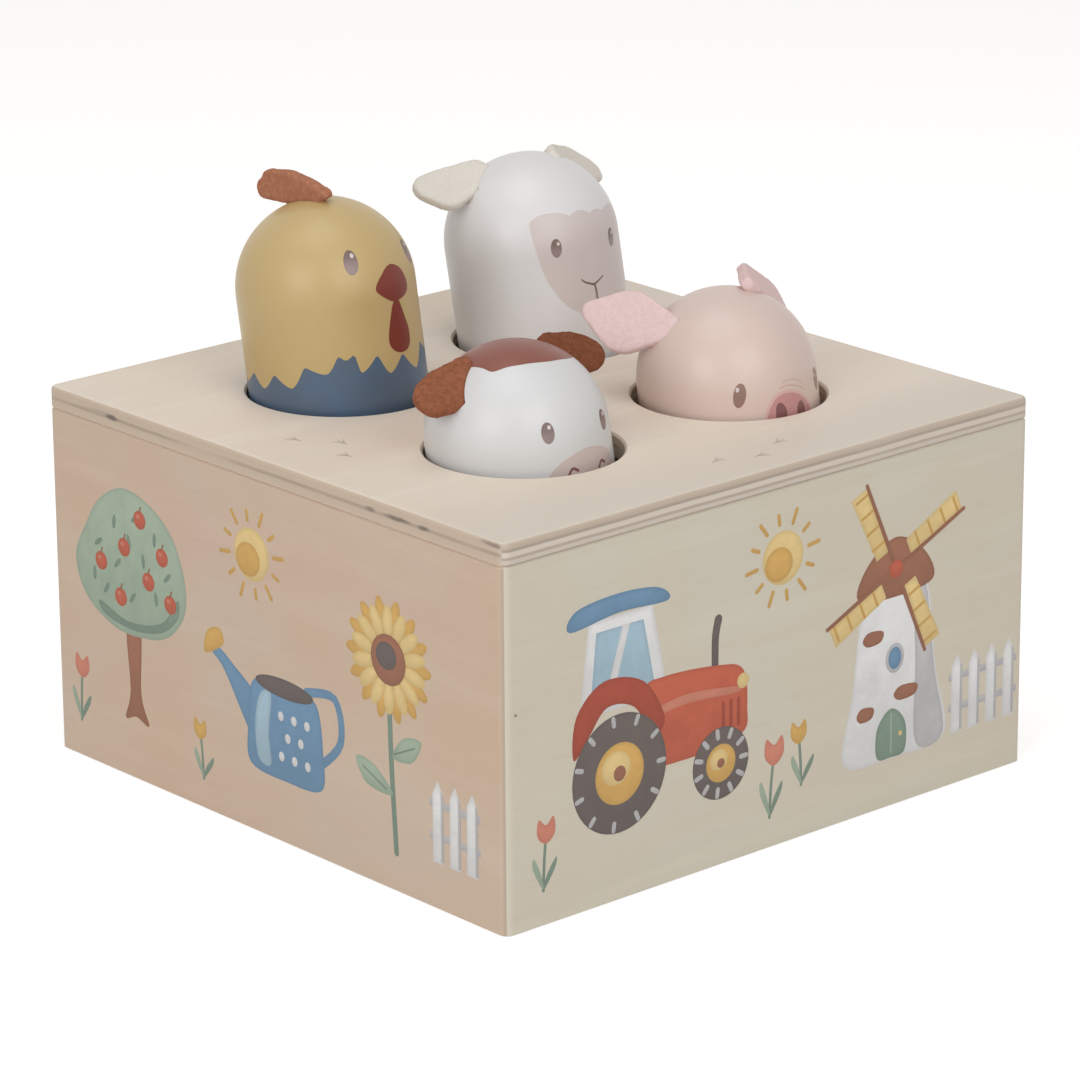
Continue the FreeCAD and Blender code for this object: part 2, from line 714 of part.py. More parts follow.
def make_peg_blank(name):
    """The turned peg: a bevelled cylinder with a half-round top and a pilot hole below."""
    body = new_body(name)
    radius, length, bevel = size("peg_radius"), size("peg_length"), size("peg_bevel")
    pilot = size("screw_radius") + size("screw_play")
    pilot_depth = size("foot_screw_length") - size("foot_thickness") + size("screw_play")
    high = (radius * math.sqrt(0.5), HEAD_CENTRE + radius * math.sqrt(0.5))
    profile = new_sketch(body, "XZ_Plane", name + "_profile")
    draw_outline(profile, [
        line((pilot, 0), (radius - bevel, 0)),
        line((radius - bevel, 0), (radius, bevel)),
        line((radius, bevel), (radius, HEAD_CENTRE)),
        arc((radius, HEAD_CENTRE), high, (0, length)),
        line((0, length), (0, pilot_depth)),
        line((0, pilot_depth), (pilot, pilot_depth)),
        line((pilot, pilot_depth), (pilot, 0)),
    ])
    revolve(body, profile)
    return body


def make_leaf(name, circles, thickness):
    """A flat leaf of even thickness, its middle plane in the body's XY plane."""
    body = new_body(name)
    outline = new_sketch(body, "XY_Plane", name + "_outline")
    draw_outline(outline, leaf_outline(circles))
    add_pad(body, outline, thickness, both_ways=True)
    return body


def ear_circles(animal, hand, grown=0.0):
    """The row of circles that an ear is drawn round, from its root to its tip."""
    root = size(animal + "_ear_root")
    tip = size(animal + "_ear_tip")
    return [
        (-size("felt_root") + root, size(f"{animal}_{hand}_root_rise"), root + grown),
        (size(animal + "_ear_belly_at"), 0, size(animal + "_ear_belly") + grown),
        (size(animal + "_ear_length") - tip, 0, tip + grown),
    ]


def ear_placement(animal, side, hand):
    """Frame of an ear on its peg: X out along the ear, Y up across it.

    side is -1 for the ear towards -X. Its origin is where the ear leaves the round top.
    """
    down = math.radians(size(f"{animal}_{hand}_slot_angle"))
    radius = size("peg_radius")
    mouth = (side * radius * math.sin(down), 0, HEAD_CENTRE + radius * math.cos(down))
    turn = FreeCAD.Rotation(Z_AXIS, size(animal + "_ear_turn_angle"))
    sweep = size(animal + "_ear_sweep_angle")
    heading = FreeCAD.Rotation(Z_AXIS, sweep if side > 0 else 180 - sweep)
    droop = FreeCAD.Rotation(Y_AXIS, size(f"{animal}_{hand}_droop_angle"))
    lean = FreeCAD.Rotation(X_AXIS, 90 - side * size(animal + "_ear_lean_angle"))
    return place(turn.multVec(FreeCAD.Vector(*mouth)), turn * heading * droop * lean)


def comb_rows(grown=0.0):
    """The comb's two rows of circles, which share a front tip and end in two lobes."""
    tip, thick, lobe = (size(f"comb_{part}_radius") for part in ("tip", "body", "lobe"))
    first = (size("comb_front_reach") - tip, size("comb_tip_height"), tip + grown)
    middle = (-size("comb_body_reach"), size("comb_height") - thick, thick + grown)
    upper = (-size("comb_upper_reach"), size("comb_upper_height"), lobe + grown)
    lower = (lobe - size("comb_back_reach"), size("comb_lower_height"), lobe + grown)
    return [[first, middle, upper], [first, middle, lower]]


def make_comb(name, thickness, grown=0.0):
    """The two-lobed comb with a tongue below it that sits in the slot."""
    body = new_body(name)
    for part, row in zip(("upper", "lower"), comb_rows(grown)):
        outline = new_sketch(body, "XY_Plane", f"{name}_{part}")
        draw_outline(outline, leaf_outline(row))
        add_pad(body, outline, thickness, both_ways=True)
    front, back = size("comb_tongue_front") + grown, -size("comb_tongue_back") - grown
    low, high = -size("comb_depth") - grown, size("comb_tip_height")
    tongue = new_sketch(body, "XY_Plane", name + "_tongue")
    draw_outline(tongue, chain([(back, low), (front, low), (front, high), (back, high)]))
    add_pad(body, tongue, thickness, both_ways=True)
    return body


def comb_placement():
    """Frame of the comb: its X runs forward over the head, its Y up from the crown."""
    stand_up = FreeCAD.Rotation(Z_AXIS, -90) * FreeCAD.Rotation(X_AXIS, 90)
    return place((0, 0, size("peg_length")), stand_up)


def cut_slots(name, blank, tools, stand):
    """The finished peg: the turned blank with its felt slots, standing in its hole."""
    peg = doc.addObject("Part::Cut", name)
    peg.Label = name
    peg.Base = blank
    if len(tools) == 1:
        peg.Tool = tools[0]
    else:
        joined = doc.addObject("Part::MultiFuse", name + "_slots")
        joined.Shapes = tools
        peg.Tool = joined
    peg.Placement = stand.placement()
    return peg


def make_animal(stand):
    """A peg with its felt, foot disc and foot screw."""
    animal, seat = stand.animal, stand.placement()
    thin, wide = "Sizes.felt_thickness", "Sizes.felt_thickness + 2 * Sizes.felt_play"
    grown = size("felt_play")
    felt, tools = [], []
    if animal == "chicken":
        comb = make_comb("chicken_comb", thin)
        tool = make_comb("chicken_comb_slot", wide, grown)
        comb.Placement = seat * comb_placement()
        tool.Placement = comb_placement()
        felt.append(comb)
        tools.append(tool)
    else:
        for side, hand in ((-1, "left"), (1, "right")):
            where = ear_placement(animal, side, hand)
            ear = make_leaf(f"{animal}_ear_{hand}", ear_circles(animal, hand), thin)
            tool = make_leaf(f"{animal}_slot_{hand}", ear_circles(animal, hand, grown), wide)
            ear.Placement = seat * where
            tool.Placement = where
            felt.append(ear)
            tools.append(tool)
    peg = cut_slots(animal + "_peg", make_peg_blank(animal + "_blank"), tools, stand)
    return [peg, make_foot(animal, seat), make_foot_screw(animal, seat)] + felt


def make_foot(animal, seat):
    """The plywood disc under a peg, which keeps it from leaving its hole."""
    name = animal + "_foot"
    body = new_body(name)
    outline = new_sketch(body, "XY_Plane", name + "_outline")
    draw_circle(outline, "Sizes.foot_radius")
    draw_circle(outline, "Sizes.screw_radius + Sizes.screw_play")
    add_pad(body, outline, "Sizes.foot_thickness")
    rim = size("foot_radius")
    dress(body, "Chamfer", "Size", "Sizes.foot_bevel",
          lambda edge: is_circle(edge) and edge.Curve.Radius > rim - 1e-6)
    dress(body, "Chamfer", "Size", "Sizes.screw_head_radius - Sizes.screw_radius",
          lambda edge: is_circle(edge) and lies_at(edge, 0)
          and edge.Curve.Radius < size("screw_head_radius"))
    body.Placement = seat * place((0, 0, -size("foot_thickness")))
    return body


def make_foot_screw(animal, seat):
    """The countersunk screw that holds the foot disc, its head in the disc's underside."""
    screw = screw_parts(animal + "_foot_screw", "Sizes.foot_screw_length")
    screw.Label = animal + "_foot_screw"
    screw.Placement = seat * place((0, 0, -size("foot_thickness")))
    return screw


# --------------------------------------------------------------------------------------
# Build
# --------------------------------------------------------------------------------------

left_pair = Pair("cow", "chicken", -1)
right_pair = Pair("pig", "sheep", 1)

nodes = [
    make_lid(),
    make_side("front_panel", "box_width", "box_depth", 0, False),
    make_side("right_panel", "box_depth", "box_width", 90, True),
    make_side("back_panel", "box_width", "box_depth", 180, False),
    make_side("left_panel", "box_depth", "box_width", 270, True),
    make_base(),
]
for corner, (side_x, side_y) in CORNERS.items():
    nodes.append(make_post("post_" + corner, side_x, side_y))
nodes.append(make_base_screws())

hub_end = "(Sizes.hub_width / 2 + Sizes.hub_play)"
inner_x = "(Sizes.box_width / 2 - Sizes.side_thickness)"
outer_length = f"{inner_x} - {PITCH_ACROSS} / 2 - {hub_end}"
outer_middle = f"({inner_x} + {PITCH_ACROSS} / 2 + {hub_end}) / 2"
nodes += [
    make_axle(),
    make_spacer("spacer_left", outer_length, f"-{outer_middle}"),
    make_spacer("spacer_middle", f"{PITCH_ACROSS} - 2 * {hub_end}", "0"),
    make_spacer("spacer_right", outer_length, outer_middle),
    make_rocker("rocker_left", -ROCKER_X, left_pair.tilt),
    make_rocker("rocker_right", ROCKER_X, right_pair.tilt),
]
for pair in (left_pair, right_pair):
    nodes += make_animal(pair.back)
    nodes += make_animal(pair.front)

doc.recompute()

for item in doc.Objects:
    if "Invalid" in item.State or "Error" in item.State:
        raise RuntimeError(f"{item.Name} failed: {item.State}")
for node in nodes:
    if node.Shape.isNull() or not node.Shape.isValid():
        raise RuntimeError(f"{node.Label} has no valid shape")

os.makedirs("parts", exist_ok=True)
for node in nodes:
    node.Shape.exportStep(os.path.join("parts", node.Label + ".step"))

for pair in (left_pair, right_pair):
    far, front_slide, back_slide = pair.travel()
    print(f"{pair.front.animal} and {pair.back.animal}: rocker {pair.tilt:.4f} to {far:.4f} deg,",
          f"front slides {front_slide:.4f} mm, back slides {back_slide:.4f} mm")
    for stand in (pair.front, pair.back):
        print(f"  {stand.animal} axis", [round(value, 6) for value in stand.axis])
print(len(nodes), "nodes written")
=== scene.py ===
import json
import math

import bpy
from bpy.props import FloatProperty, FloatVectorProperty, PointerProperty
from mathutils import Matrix, Vector, noise
from mathutils.geometry import delaunay_2d_cdt


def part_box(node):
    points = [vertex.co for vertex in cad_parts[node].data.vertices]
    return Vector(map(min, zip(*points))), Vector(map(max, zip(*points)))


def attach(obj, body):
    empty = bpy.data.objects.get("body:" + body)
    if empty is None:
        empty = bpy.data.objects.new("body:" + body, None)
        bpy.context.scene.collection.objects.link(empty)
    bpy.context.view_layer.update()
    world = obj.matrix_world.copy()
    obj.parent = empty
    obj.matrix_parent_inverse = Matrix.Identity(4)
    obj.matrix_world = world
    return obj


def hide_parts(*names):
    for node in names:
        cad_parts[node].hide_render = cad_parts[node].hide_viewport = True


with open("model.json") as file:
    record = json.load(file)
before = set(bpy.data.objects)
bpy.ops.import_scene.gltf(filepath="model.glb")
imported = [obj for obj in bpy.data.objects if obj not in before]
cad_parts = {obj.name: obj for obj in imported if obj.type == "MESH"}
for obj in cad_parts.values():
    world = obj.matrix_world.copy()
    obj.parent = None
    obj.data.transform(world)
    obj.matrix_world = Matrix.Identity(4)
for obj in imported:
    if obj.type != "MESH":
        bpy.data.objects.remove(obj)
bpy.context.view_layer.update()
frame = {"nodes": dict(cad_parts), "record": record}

bl_info = {
    "name": "Pop Up Animal Box",
    "version": (1, 0, 0),
    "blender": (4, 5, 0),
    "location": "View3D > Sidebar > Animal Box",
    "description": "Finishes, prints and felt for a wooden box with four pop up animals",
    "category": "Object",
}

MM = 0.001
ANIMALS = ("chicken", "sheep", "cow", "pig")

# Where the box's outer faces are, in metres.
FRONT_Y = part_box("front_panel")[0][1]
LEFT_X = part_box("left_panel")[0][0]
LID_LOW, LID_HIGH = (corner[2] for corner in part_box("lid"))


def srgb(red, green, blue):
    """A colour written as 0 to 255 screen values, in Blender's linear values."""
    def linear(value):
        value /= 255
        return value / 12.92 if value <= 0.04045 else ((value + 0.055) / 1.055) ** 2.4
    return linear(red), linear(green), linear(blue)


# ---------------------------------------------------------------------------
# Settings that a user would change
# ---------------------------------------------------------------------------


def colour_setting(name, description, default):
    return FloatVectorProperty(name=name, description=description, default=default,
                               subtype="COLOR", size=3, min=0.0, max=1.0)


def length_setting(name, description, millimetres):
    return FloatProperty(name=name, description=description, default=millimetres * MM,
                         unit="LENGTH", subtype="DISTANCE", min=0.0, precision=5)


class BoxSettings(bpy.types.PropertyGroup):
    lid: colour_setting("Lid", "Face veneer of the lid", srgb(228, 217, 202))
    front: colour_setting("Front", "Face veneer of the front, right and back", srgb(208, 201, 184))
    left: colour_setting("Left side", "Warmer face veneer of the left side", srgb(203, 183, 163))
    end_ply: colour_setting("End grain", "Plies seen on their end grain", srgb(191, 175, 158))
    long_ply: colour_setting("Long grain", "Plies seen along their grain", srgb(214, 203, 189))
    inner_wood: colour_setting("Inner wood", "Bare softwood inside the box", srgb(206, 182, 148))
    steel: colour_setting("Screws", "Zinc plated steel", srgb(190, 188, 182))


class PrintSettings(bpy.types.PropertyGroup):
    ink: length_setting("Ink", "Thickness of one layer of ink", 0.015)
    red: colour_setting("Brick red", "Ink", srgb(186, 92, 66))
    deep_red: colour_setting("Deep red", "Ink", srgb(160, 70, 50))
    coral: colour_setting("Coral", "Ink", srgb(205, 130, 108))
    ochre: colour_setting("Ochre", "Ink", srgb(208, 165, 92))
    straw: colour_setting("Straw", "Ink", srgb(222, 194, 134))
    blue: colour_setting("Blue", "Ink", srgb(106, 141, 170))
    sky: colour_setting("Pale blue", "Ink", srgb(160, 186, 200))
    sage: colour_setting("Sage", "Ink", srgb(158, 174, 154))
    leaf: colour_setting("Leaf green", "Ink", srgb(124, 144, 128))
    chalk: colour_setting("Chalk white", "Ink", srgb(222, 221, 220))
    mist: colour_setting("Mist grey", "Ink", srgb(190, 188, 188))
    brown: colour_setting("Brown", "Ink", srgb(150, 100, 76))
    soot: colour_setting("Soot", "Ink", srgb(98, 88, 84))
    umber: colour_setting("Umber", "Ink of the tracks", srgb(196, 184, 164))


class PegSettings(bpy.types.PropertyGroup):
    radius: length_setting("Peg radius", "Radius of the peg and its round top", 23.3)
    length: length_setting("Peg length", "Foot disc to crown", 60.3)
    foot: length_setting("Foot disc", "Thickness of the foot disc", 5.0)
    paint: length_setting("Paint", "Thickness of one layer of painted detail", 0.02)
    chicken: colour_setting("Chicken", "Satin paint", srgb(193, 167, 113))
    sheep: colour_setting("Sheep", "Satin paint", srgb(222, 220, 220))
    cow: colour_setting("Cow", "Satin paint", srgb(214, 214, 214))
    pig: colour_setting("Pig", "Satin paint", srgb(215, 193, 183))
    band: colour_setting("Feather band", "Painted detail", srgb(80, 97, 118))
    band_wash: colour_setting("Band wash", "Bluer clouds in the feather band", srgb(74, 108, 141))
    beak: colour_setting("Beak and wattle", "Painted detail", srgb(117, 30, 2))
    fleece_face: colour_setting("Sheep's face", "Painted detail", srgb(209, 197, 194))
    cap: colour_setting("Cow's cap", "Painted detail", srgb(128, 66, 48))
    muzzle: colour_setting("Cow's muzzle", "Painted detail", srgb(206, 190, 184))
    snout: colour_setting("Pig's snout", "Painted detail", srgb(196, 141, 140))
    rim: colour_setting("Snout's rim", "Painted detail", srgb(214, 177, 172))
    crease: colour_setting("Creases", "Painted detail", srgb(201, 168, 159))
    nostril: colour_setting("Nostrils", "Painted detail", srgb(128, 84, 82))
    hazel: colour_setting("Pig's eye", "Painted detail", srgb(142, 110, 98))
    eye: colour_setting("Eye", "Lower part of the eye", srgb(146, 126, 124))
    pupil: colour_setting("Pupil", "Upper part of the eye", srgb(112, 90, 82))
    glint: colour_setting("Glint", "Highlight in the eye", srgb(212, 202, 202))


class FeltSettings(bpy.types.PropertyGroup):
    grid: length_setting("Mesh", "Size of a mesh cell of the felt", 0.42)
    fluff: length_setting("Fluff", "Height of the uneven surface", 0.07)
    swell: length_setting("Swell", "How far the felt's rim swells out of its cut shape", 0.5)
    rust: colour_setting("Rust felt", "Cow's left ear", srgb(150, 93, 67))
    # The right ear's felt is the rust felt darkened: a painted shade for the shadow that ear lies
    # in.
    russet: colour_setting("Russet felt", "Cow's right ear", srgb(128, 76, 52))
    clay: colour_setting("Clay felt", "Comb", srgb(178, 120, 93))
    cream: colour_setting("Cream felt", "Sheep's ears", srgb(226, 220, 210))
    pink: colour_setting("Pink felt", "Pig's ears", srgb(232, 205, 203))


class StageSettings(bpy.types.PropertyGroup):
    lens: FloatProperty(name="Lens", description="Focal length for a 36 mm sensor", default=174.1,
                        min=10.0, max=400.0)
    camera: FloatVectorProperty(name="Camera", description="Where the camera stands", size=3,
                                default=(-0.855818, -0.970967, 0.487962), subtype="XYZ",
                                unit="LENGTH")
    world: FloatProperty(name="Sky light", description="Even light from all sides", default=0.38,
                         min=0.0, max=5.0)
    key: FloatProperty(name="Key lamp", description="Large soft lamp in front", default=8.6,
                       min=0.0, max=500.0, unit="POWER")
    side: FloatProperty(name="Side lamp", description="Soft lamp on the left", default=7.2,
                        min=0.0, max=500.0, unit="POWER")
    top: FloatProperty(name="Top lamp", description="Soft lamp overhead", default=5.3,
                       min=0.0, max=500.0, unit="POWER")


SETTINGS = {
    "animal_box_wood": BoxSettings,
    "animal_box_prints": PrintSettings,
    "animal_box_pegs": PegSettings,
    "animal_box_felt": FeltSettings,
    "animal_box_stage": StageSettings,
}


# ---------------------------------------------------------------------------
# Shader maths
# ---------------------------------------------------------------------------


class Wire:
    """A socket that can be calculated with: each operator adds a Math node."""

    def __init__(self, bench, socket):
        self.bench = bench
        self.socket = socket

    def __add__(self, other):
        return self.bench.maths("ADD", self, other)

    def __abs__(self):
        return self.bench.maths("ABSOLUTE", self)

    def __sub__(self, other):
        return self.bench.maths("SUBTRACT", self, other)

    def __mul__(self, other):
        return self.bench.maths("MULTIPLY", self, other)

    def __truediv__(self, other):
        return self.bench.maths("DIVIDE", self, other)

    def __radd__(self, other):
        return self.bench.maths("ADD", other, self)

    def __rsub__(self, other):
        return self.bench.maths("SUBTRACT", other, self)

    def __rmul__(self, other):
        return self.bench.maths("MULTIPLY", other, self)


class Bench:
    """A node tree being built, and the nodes that it can add."""

    def __init__(self, tree):
        self.tree = tree

    def node(self, kind, settings, sockets, output=0):
        """Adds a node: its settings first, then the values or links of its sockets.

        output names the socket whose wire comes back, or is a tuple of several.
        """
        node = self.tree.nodes.new(kind)
        for name, value in settings.items():
            if name == "stops":
                self.set_stops(node.color_ramp, value)
            else:
                setattr(node, name, value)
        for name, value in sockets.items():
            self.feed(node.inputs[name], value)
        if isinstance(output, tuple):
            return [Wire(self, node.outputs[name]) for name in output]
        return Wire(self, node.outputs[output])

    def set_stops(self, ramp, stops):
        while len(ramp.elements) < len(stops):
            ramp.elements.new(1.0)
        for element, (position, colour) in zip(ramp.elements, stops):
            element.position = position
            element.color = (*colour, 1.0)

    def feed(self, socket, value):
        if isinstance(value, Wire):
            self.tree.links.new(value.socket, socket)
        elif socket.type == "RGBA" and len(value) == 3:
            socket.default_value = (*value, 1.0)
        else:
            socket.default_value = value

    def maths(self, operation, *values):
        return self.node("ShaderNodeMath", {"operation": operation}, dict(enumerate(values)))

    def vector(self, operation, *values):
        return self.node("ShaderNodeVectorMath", {"operation": operation},
                         dict(enumerate(values)))

    def mix(self, factor, first, second):
        """From the first colour to the second."""
        return self.node("ShaderNodeMix", {"data_type": "RGBA"},
                         {0: factor, 6: first, 7: second}, output=2)

    def seen_directly(self):
        """1 where the camera, a mirror-like surface or glass looks at the spot."""
        camera, glossy, through = self.node("ShaderNodeLightPath", {}, {}, output=(
            "Is Camera Ray", "Is Glossy Ray", "Is Transmission Ray"))
        return self.maths("MAXIMUM", self.maths("MAXIMUM", camera, glossy), through)


class Finish(Bench):
    """A material being made, and the nodes that paint it."""

    def __init__(self, name, roughness=0.5, sheen=0.0):
        self.material = bpy.data.materials.new(name)
        self.material.use_nodes = True
        super().__init__(self.material.node_tree)
        self.shader = self.tree.nodes["Principled BSDF"]
        self.shader.inputs["Roughness"].default_value = roughness
        self.shader.inputs["Sheen Weight"].default_value = sheen
        self._point = None

    def point(self):
        """Where a spot is at rest, in metres."""
        if self._point is None:
            self._point = self.node("ShaderNodeTexCoord", {}, {}, output="Object")
        return self._point

    def facing(self):
        """The way the surface faces at rest."""
        return self.node("ShaderNodeTexCoord", {}, {}, output="Normal")

    def written(self, name):
        """A value that the mesh carries at each of its points."""
        return self.node("ShaderNodeAttribute", {"attribute_name": name}, {}, output="Fac")

    def ramp(self, factor, stops):
        return self.node("ShaderNodeValToRGB", {"stops": stops}, {"Fac": factor})

    def stirred(self, scale, reach, detail=2.0):
        """The rest position, pushed about by reach metres."""
        push = self.noise(self.point(), scale, detail=detail, output="Color")
        push = self.vector("SUBTRACT", push, (0.5, 0.5, 0.5))
        return self.vector("MULTIPLY_ADD", push, (reach, reach, reach), self.point())

    def parts(self, vector):
        """The X, Y and Z wires of a vector."""
        return self.node("ShaderNodeSeparateXYZ", {}, {0: vector}, output=(0, 1, 2))

    def noise(self, point, scale, detail=3.0, roughness=0.55, distortion=0.0, output="Fac"):
        return self.node("ShaderNodeTexNoise", {},
                         {"Vector": point, "Scale": scale, "Detail": detail,
                          "Roughness": roughness, "Distortion": distortion}, output=output)

    def step(self, value, low, high, top=1.0):
        """0 below low, top above high, and smooth between them."""
        return self.node("ShaderNodeMapRange", {"interpolation_type": "SMOOTHSTEP"},
                         {"Value": value, "From Min": low, "From Max": high,
                          "To Min": 0.0, "To Max": top})

    def paint(self, colour=None, roughness=None, height=None, strength=0.2, distance=MM):
        """Feeds the shader: its colour, its roughness and the height of its surface."""
        if colour is not None:
            self.feed(self.shader.inputs["Base Color"], colour)
        if roughness is not None:
            self.feed(self.shader.inputs["Roughness"], roughness)
        if height is not None:
            bump = self.node("ShaderNodeBump", {},
                             {"Strength": strength, "Distance": distance, "Height": height})
            self.feed(self.shader.inputs["Normal"], bump)
        return self.material


def shade(colour, factor):
    """A colour made lighter or darker."""
    return tuple(min(1.0, value * factor) for value in colour[:3])


# ---------------------------------------------------------------------------
# Finishes
# ---------------------------------------------------------------------------


def veneer(finish, colour, along, warmth=0.5, waviness=0.5):
    """Colour and height of a rotary-cut face veneer. along is the axis its grain follows.

    warmth is the share of warm clouds, and waviness is how much its grain winds.
    """
    stretch = [1.0, 1.0, 1.0]
    stretch["XYZ".index(along)] = 0.07
    point = finish.point()
    wavy = finish.vector("MULTIPLY", finish.stirred(11.0, 0.012 * waviness), tuple(stretch))
    figure = finish.noise(wavy, 120.0, detail=3.0, roughness=0.5)
    grain = finish.noise(wavy, 900.0, detail=4.0, roughness=0.65)
    flecks = finish.noise(wavy, 2600.0, detail=2.0, roughness=0.5)
    clouds = finish.noise(point, 16.0, detail=2.0)
    warm = (colour[0] * 1.02, colour[1] * 0.93, colour[2] * 0.85)
    pale = shade(colour, 1.08)
    dark = (colour[0] * 0.88, colour[1] * 0.82, colour[2] * 0.76)
    streaks = finish.noise(wavy, 34.0, detail=2.0)
    blush = (colour[0] * 1.04, colour[1] * 0.9, colour[2] * 0.93)
    base = finish.mix(finish.step(clouds, 0.35, 0.7, warmth), colour, warm)
    base = finish.mix(finish.step(streaks, 0.5, 0.68, 0.6 * warmth), base, blush)
    base = finish.mix(finish.step(figure, 0.45, 0.75, 0.55), base, pale)
    base = finish.mix(finish.step(grain, 0.5, 0.8, 0.35), base, dark)
    base = finish.mix(finish.step(flecks, 0.66, 0.8, 0.25), base, dark)
    return base, grain


def board(name, colour, along, warmth, waviness, arris=1.0, knots=()):
    """A plywood board seen on its face. knots are (x, y, z, half length along, half width).

    The arris factor paints its slanted upright edges lighter or darker than its face: a painted
    highlight above 1 and a painted shade below 1.
    """
    finish = Finish(name, roughness=0.55)
    face, grain = veneer(finish, colour, along, warmth, waviness)
    across, deep, upward = (abs(part) for part in finish.parts(finish.facing()))
    upright = finish.step(across, 0.98, 0.8) * finish.step(deep, 0.98, 0.8)
    # Painted shade on the slanted upright edges where the arris factor is below 1, and a painted
    # highlight where it is above 1.
    face = finish.mix(upright * finish.step(upward, 0.4, 0.2), face, shade(colour, arris))
    # Upward facing chamfers are painted a little lighter: a painted highlight that hides the shade
    # in the seam under the lid.
    face = finish.mix(finish.step(upward, 0.3, 0.6), face, shade(colour, 1.02))
    for *centre, length, width in knots:
        face = finish.mix(knot(finish, centre, along, length, width), face, srgb(96, 84, 62))
    return finish.paint(face, height=grain, strength=0.12, distance=0.2 * MM)


def knot(finish, centre, along, length, width):
    """1 in the middle of a small knot, in millimetres, and 0 outside it."""
    scale = [1 / (width * MM)] * 3
    scale["XYZ".index(along)] = 1 / (length * MM)
    offset = finish.vector("SUBTRACT", finish.stirred(300.0, 0.0008),
                           tuple(value * MM for value in centre))
    away = finish.node("ShaderNodeVectorMath", {"operation": "LENGTH"},
                       {0: finish.vector("MULTIPLY", offset, tuple(scale))}, output="Value")
    return finish.step(away, 1.0, 0.3)


# A small knot on the front: middle (x, y, z), half length and half width, in millimetres.
FRONT_KNOT = (-86.5, FRONT_Y / MM, 56.3, 0.6, 0.45)

# On the lid's left edge: middle (y, z), half length and half width, in millimetres, and shade.
LID_KNOTS = (((66.5, 97.4), 8.0, 1.1, 0.75), ((62.6, 97.2), 3.6, 1.0, 0.27),
             ((-41, 97.2), 2.6, 0.9, 0.45), ((-51.4, 97.2), 7.0, 0.9, 0.36),
             ((-61.0, 97.0), 3.2, 0.9, 0.34), ((-86.5, 99.2), 6.5, 0.8, 0.5))


def lid_board(settings):
    """The lid: veneer on top, and on its edges the plies, clearest at the front and back."""
    finish = Finish("lid_plywood", roughness=0.55)
    colour = tuple(settings.lid)
    face, grain = veneer(finish, colour, "X", 0.5, 1.0)
    _, to_back, _ = finish.parts(finish.stirred(14.0, 0.02))
    face = finish.mix(finish.step(to_back, -50 * MM, -82 * MM), face, shade(colour, 0.88))
    _, _, upward = finish.parts(finish.point())
    _, facing_y, facing_z = finish.parts(finish.facing())
    wobble = finish.noise(finish.stirred(30.0, 0.01), 55.0, detail=3.0)
    depth = (upward - LID_LOW) / (LID_HIGH - LID_LOW) + (wobble - 0.5) * 0.07
    long_ply, end_ply = tuple(settings.long_ply), tuple(settings.end_ply)
    glue = shade(end_ply, 0.78)
    # The top stop of each ramp darkens the lid's colour for the top chamfer: partly its cut edge,
    # partly a painted shade.
    clear = finish.ramp(depth, [
        (0.0, shade(end_ply, 0.92)), (0.09, shade(end_ply, 0.92)), (0.13, shade(long_ply, 0.9)),
        (0.25, shade(long_ply, 0.9)), (0.3, shade(end_ply, 0.9)), (0.37, shade(end_ply, 0.9)),
        (0.42, long_ply), (0.58, long_ply), (0.64, glue), (0.7, glue), (0.76, end_ply),
        (0.94, end_ply), (1.0, shade(colour, 0.9))])
    side = tuple(settings.left)
    # The lowest stops are lighter than the side: a painted highlight that hides the shade in the
    # seam between lid and side.
    faint = finish.ramp(depth, [
        (0.0, shade(side, 1.12)), (0.1, shade(side, 1.05)), (0.14, side), (0.42, shade(side, 0.95)),
        (0.5, shade(side, 0.93)), (0.58, side), (0.94, shade(side, 0.94)),
        (1.0, shade(colour, 0.88))])
    blotch = finish.noise(finish.point(), 26.0, detail=3.0)
    clear = finish.mix(finish.step(blotch, 0.45, 0.75, 0.4), clear, shade(long_ply, 0.9))
    along = finish.noise(finish.vector("MULTIPLY", finish.point(), (1.0, 0.4, 1.0)), 45.0)
    core = finish.step(abs(depth - 0.5), 0.12, 0.03) * finish.step(along, 0.42, 0.6, 0.85)
    faint = finish.mix(core, faint, shade(side, 0.66))
    for centre, length, width, strength in LID_KNOTS:
        spot = knot(finish, (LEFT_X / MM, *centre), "Y", length, width)
        faint = finish.mix(spot, faint, shade(side, strength))
    cut = finish.mix(finish.step(abs(facing_y), 0.4, 0.7), faint, clear)
    # The top chamfer takes the edge colours, darker than the face: partly the plies' cut edge,
    # partly a painted shade that dims its highlight.
    edge = 1.0 - finish.step(facing_z, 0.72, 0.97)
    return finish.paint(finish.mix(edge, face, cut), height=grain, strength=0.12,
                        distance=0.2 * MM)


def bare_wood(name, colour, along):
    """Planed softwood without lacquer."""
    finish = Finish(name, roughness=0.7)
    face, grain = veneer(finish, colour, along, 0.4, 0.8)
    return finish.paint(face, height=grain, strength=0.25, distance=0.3 * MM)


def plated_steel(name, colour):
    """Zinc plating, dull and lightly scratched."""
    finish = Finish(name, roughness=0.35)
    finish.shader.inputs["Metallic"].default_value = 1.0
    scratches = finish.noise(finish.point(), 900.0, detail=3.0)
    tone = finish.mix(finish.step(scratches, 0.4, 0.7), colour, shade(colour, 0.8))
    return finish.paint(tone, roughness=0.3 + scratches * 0.2)


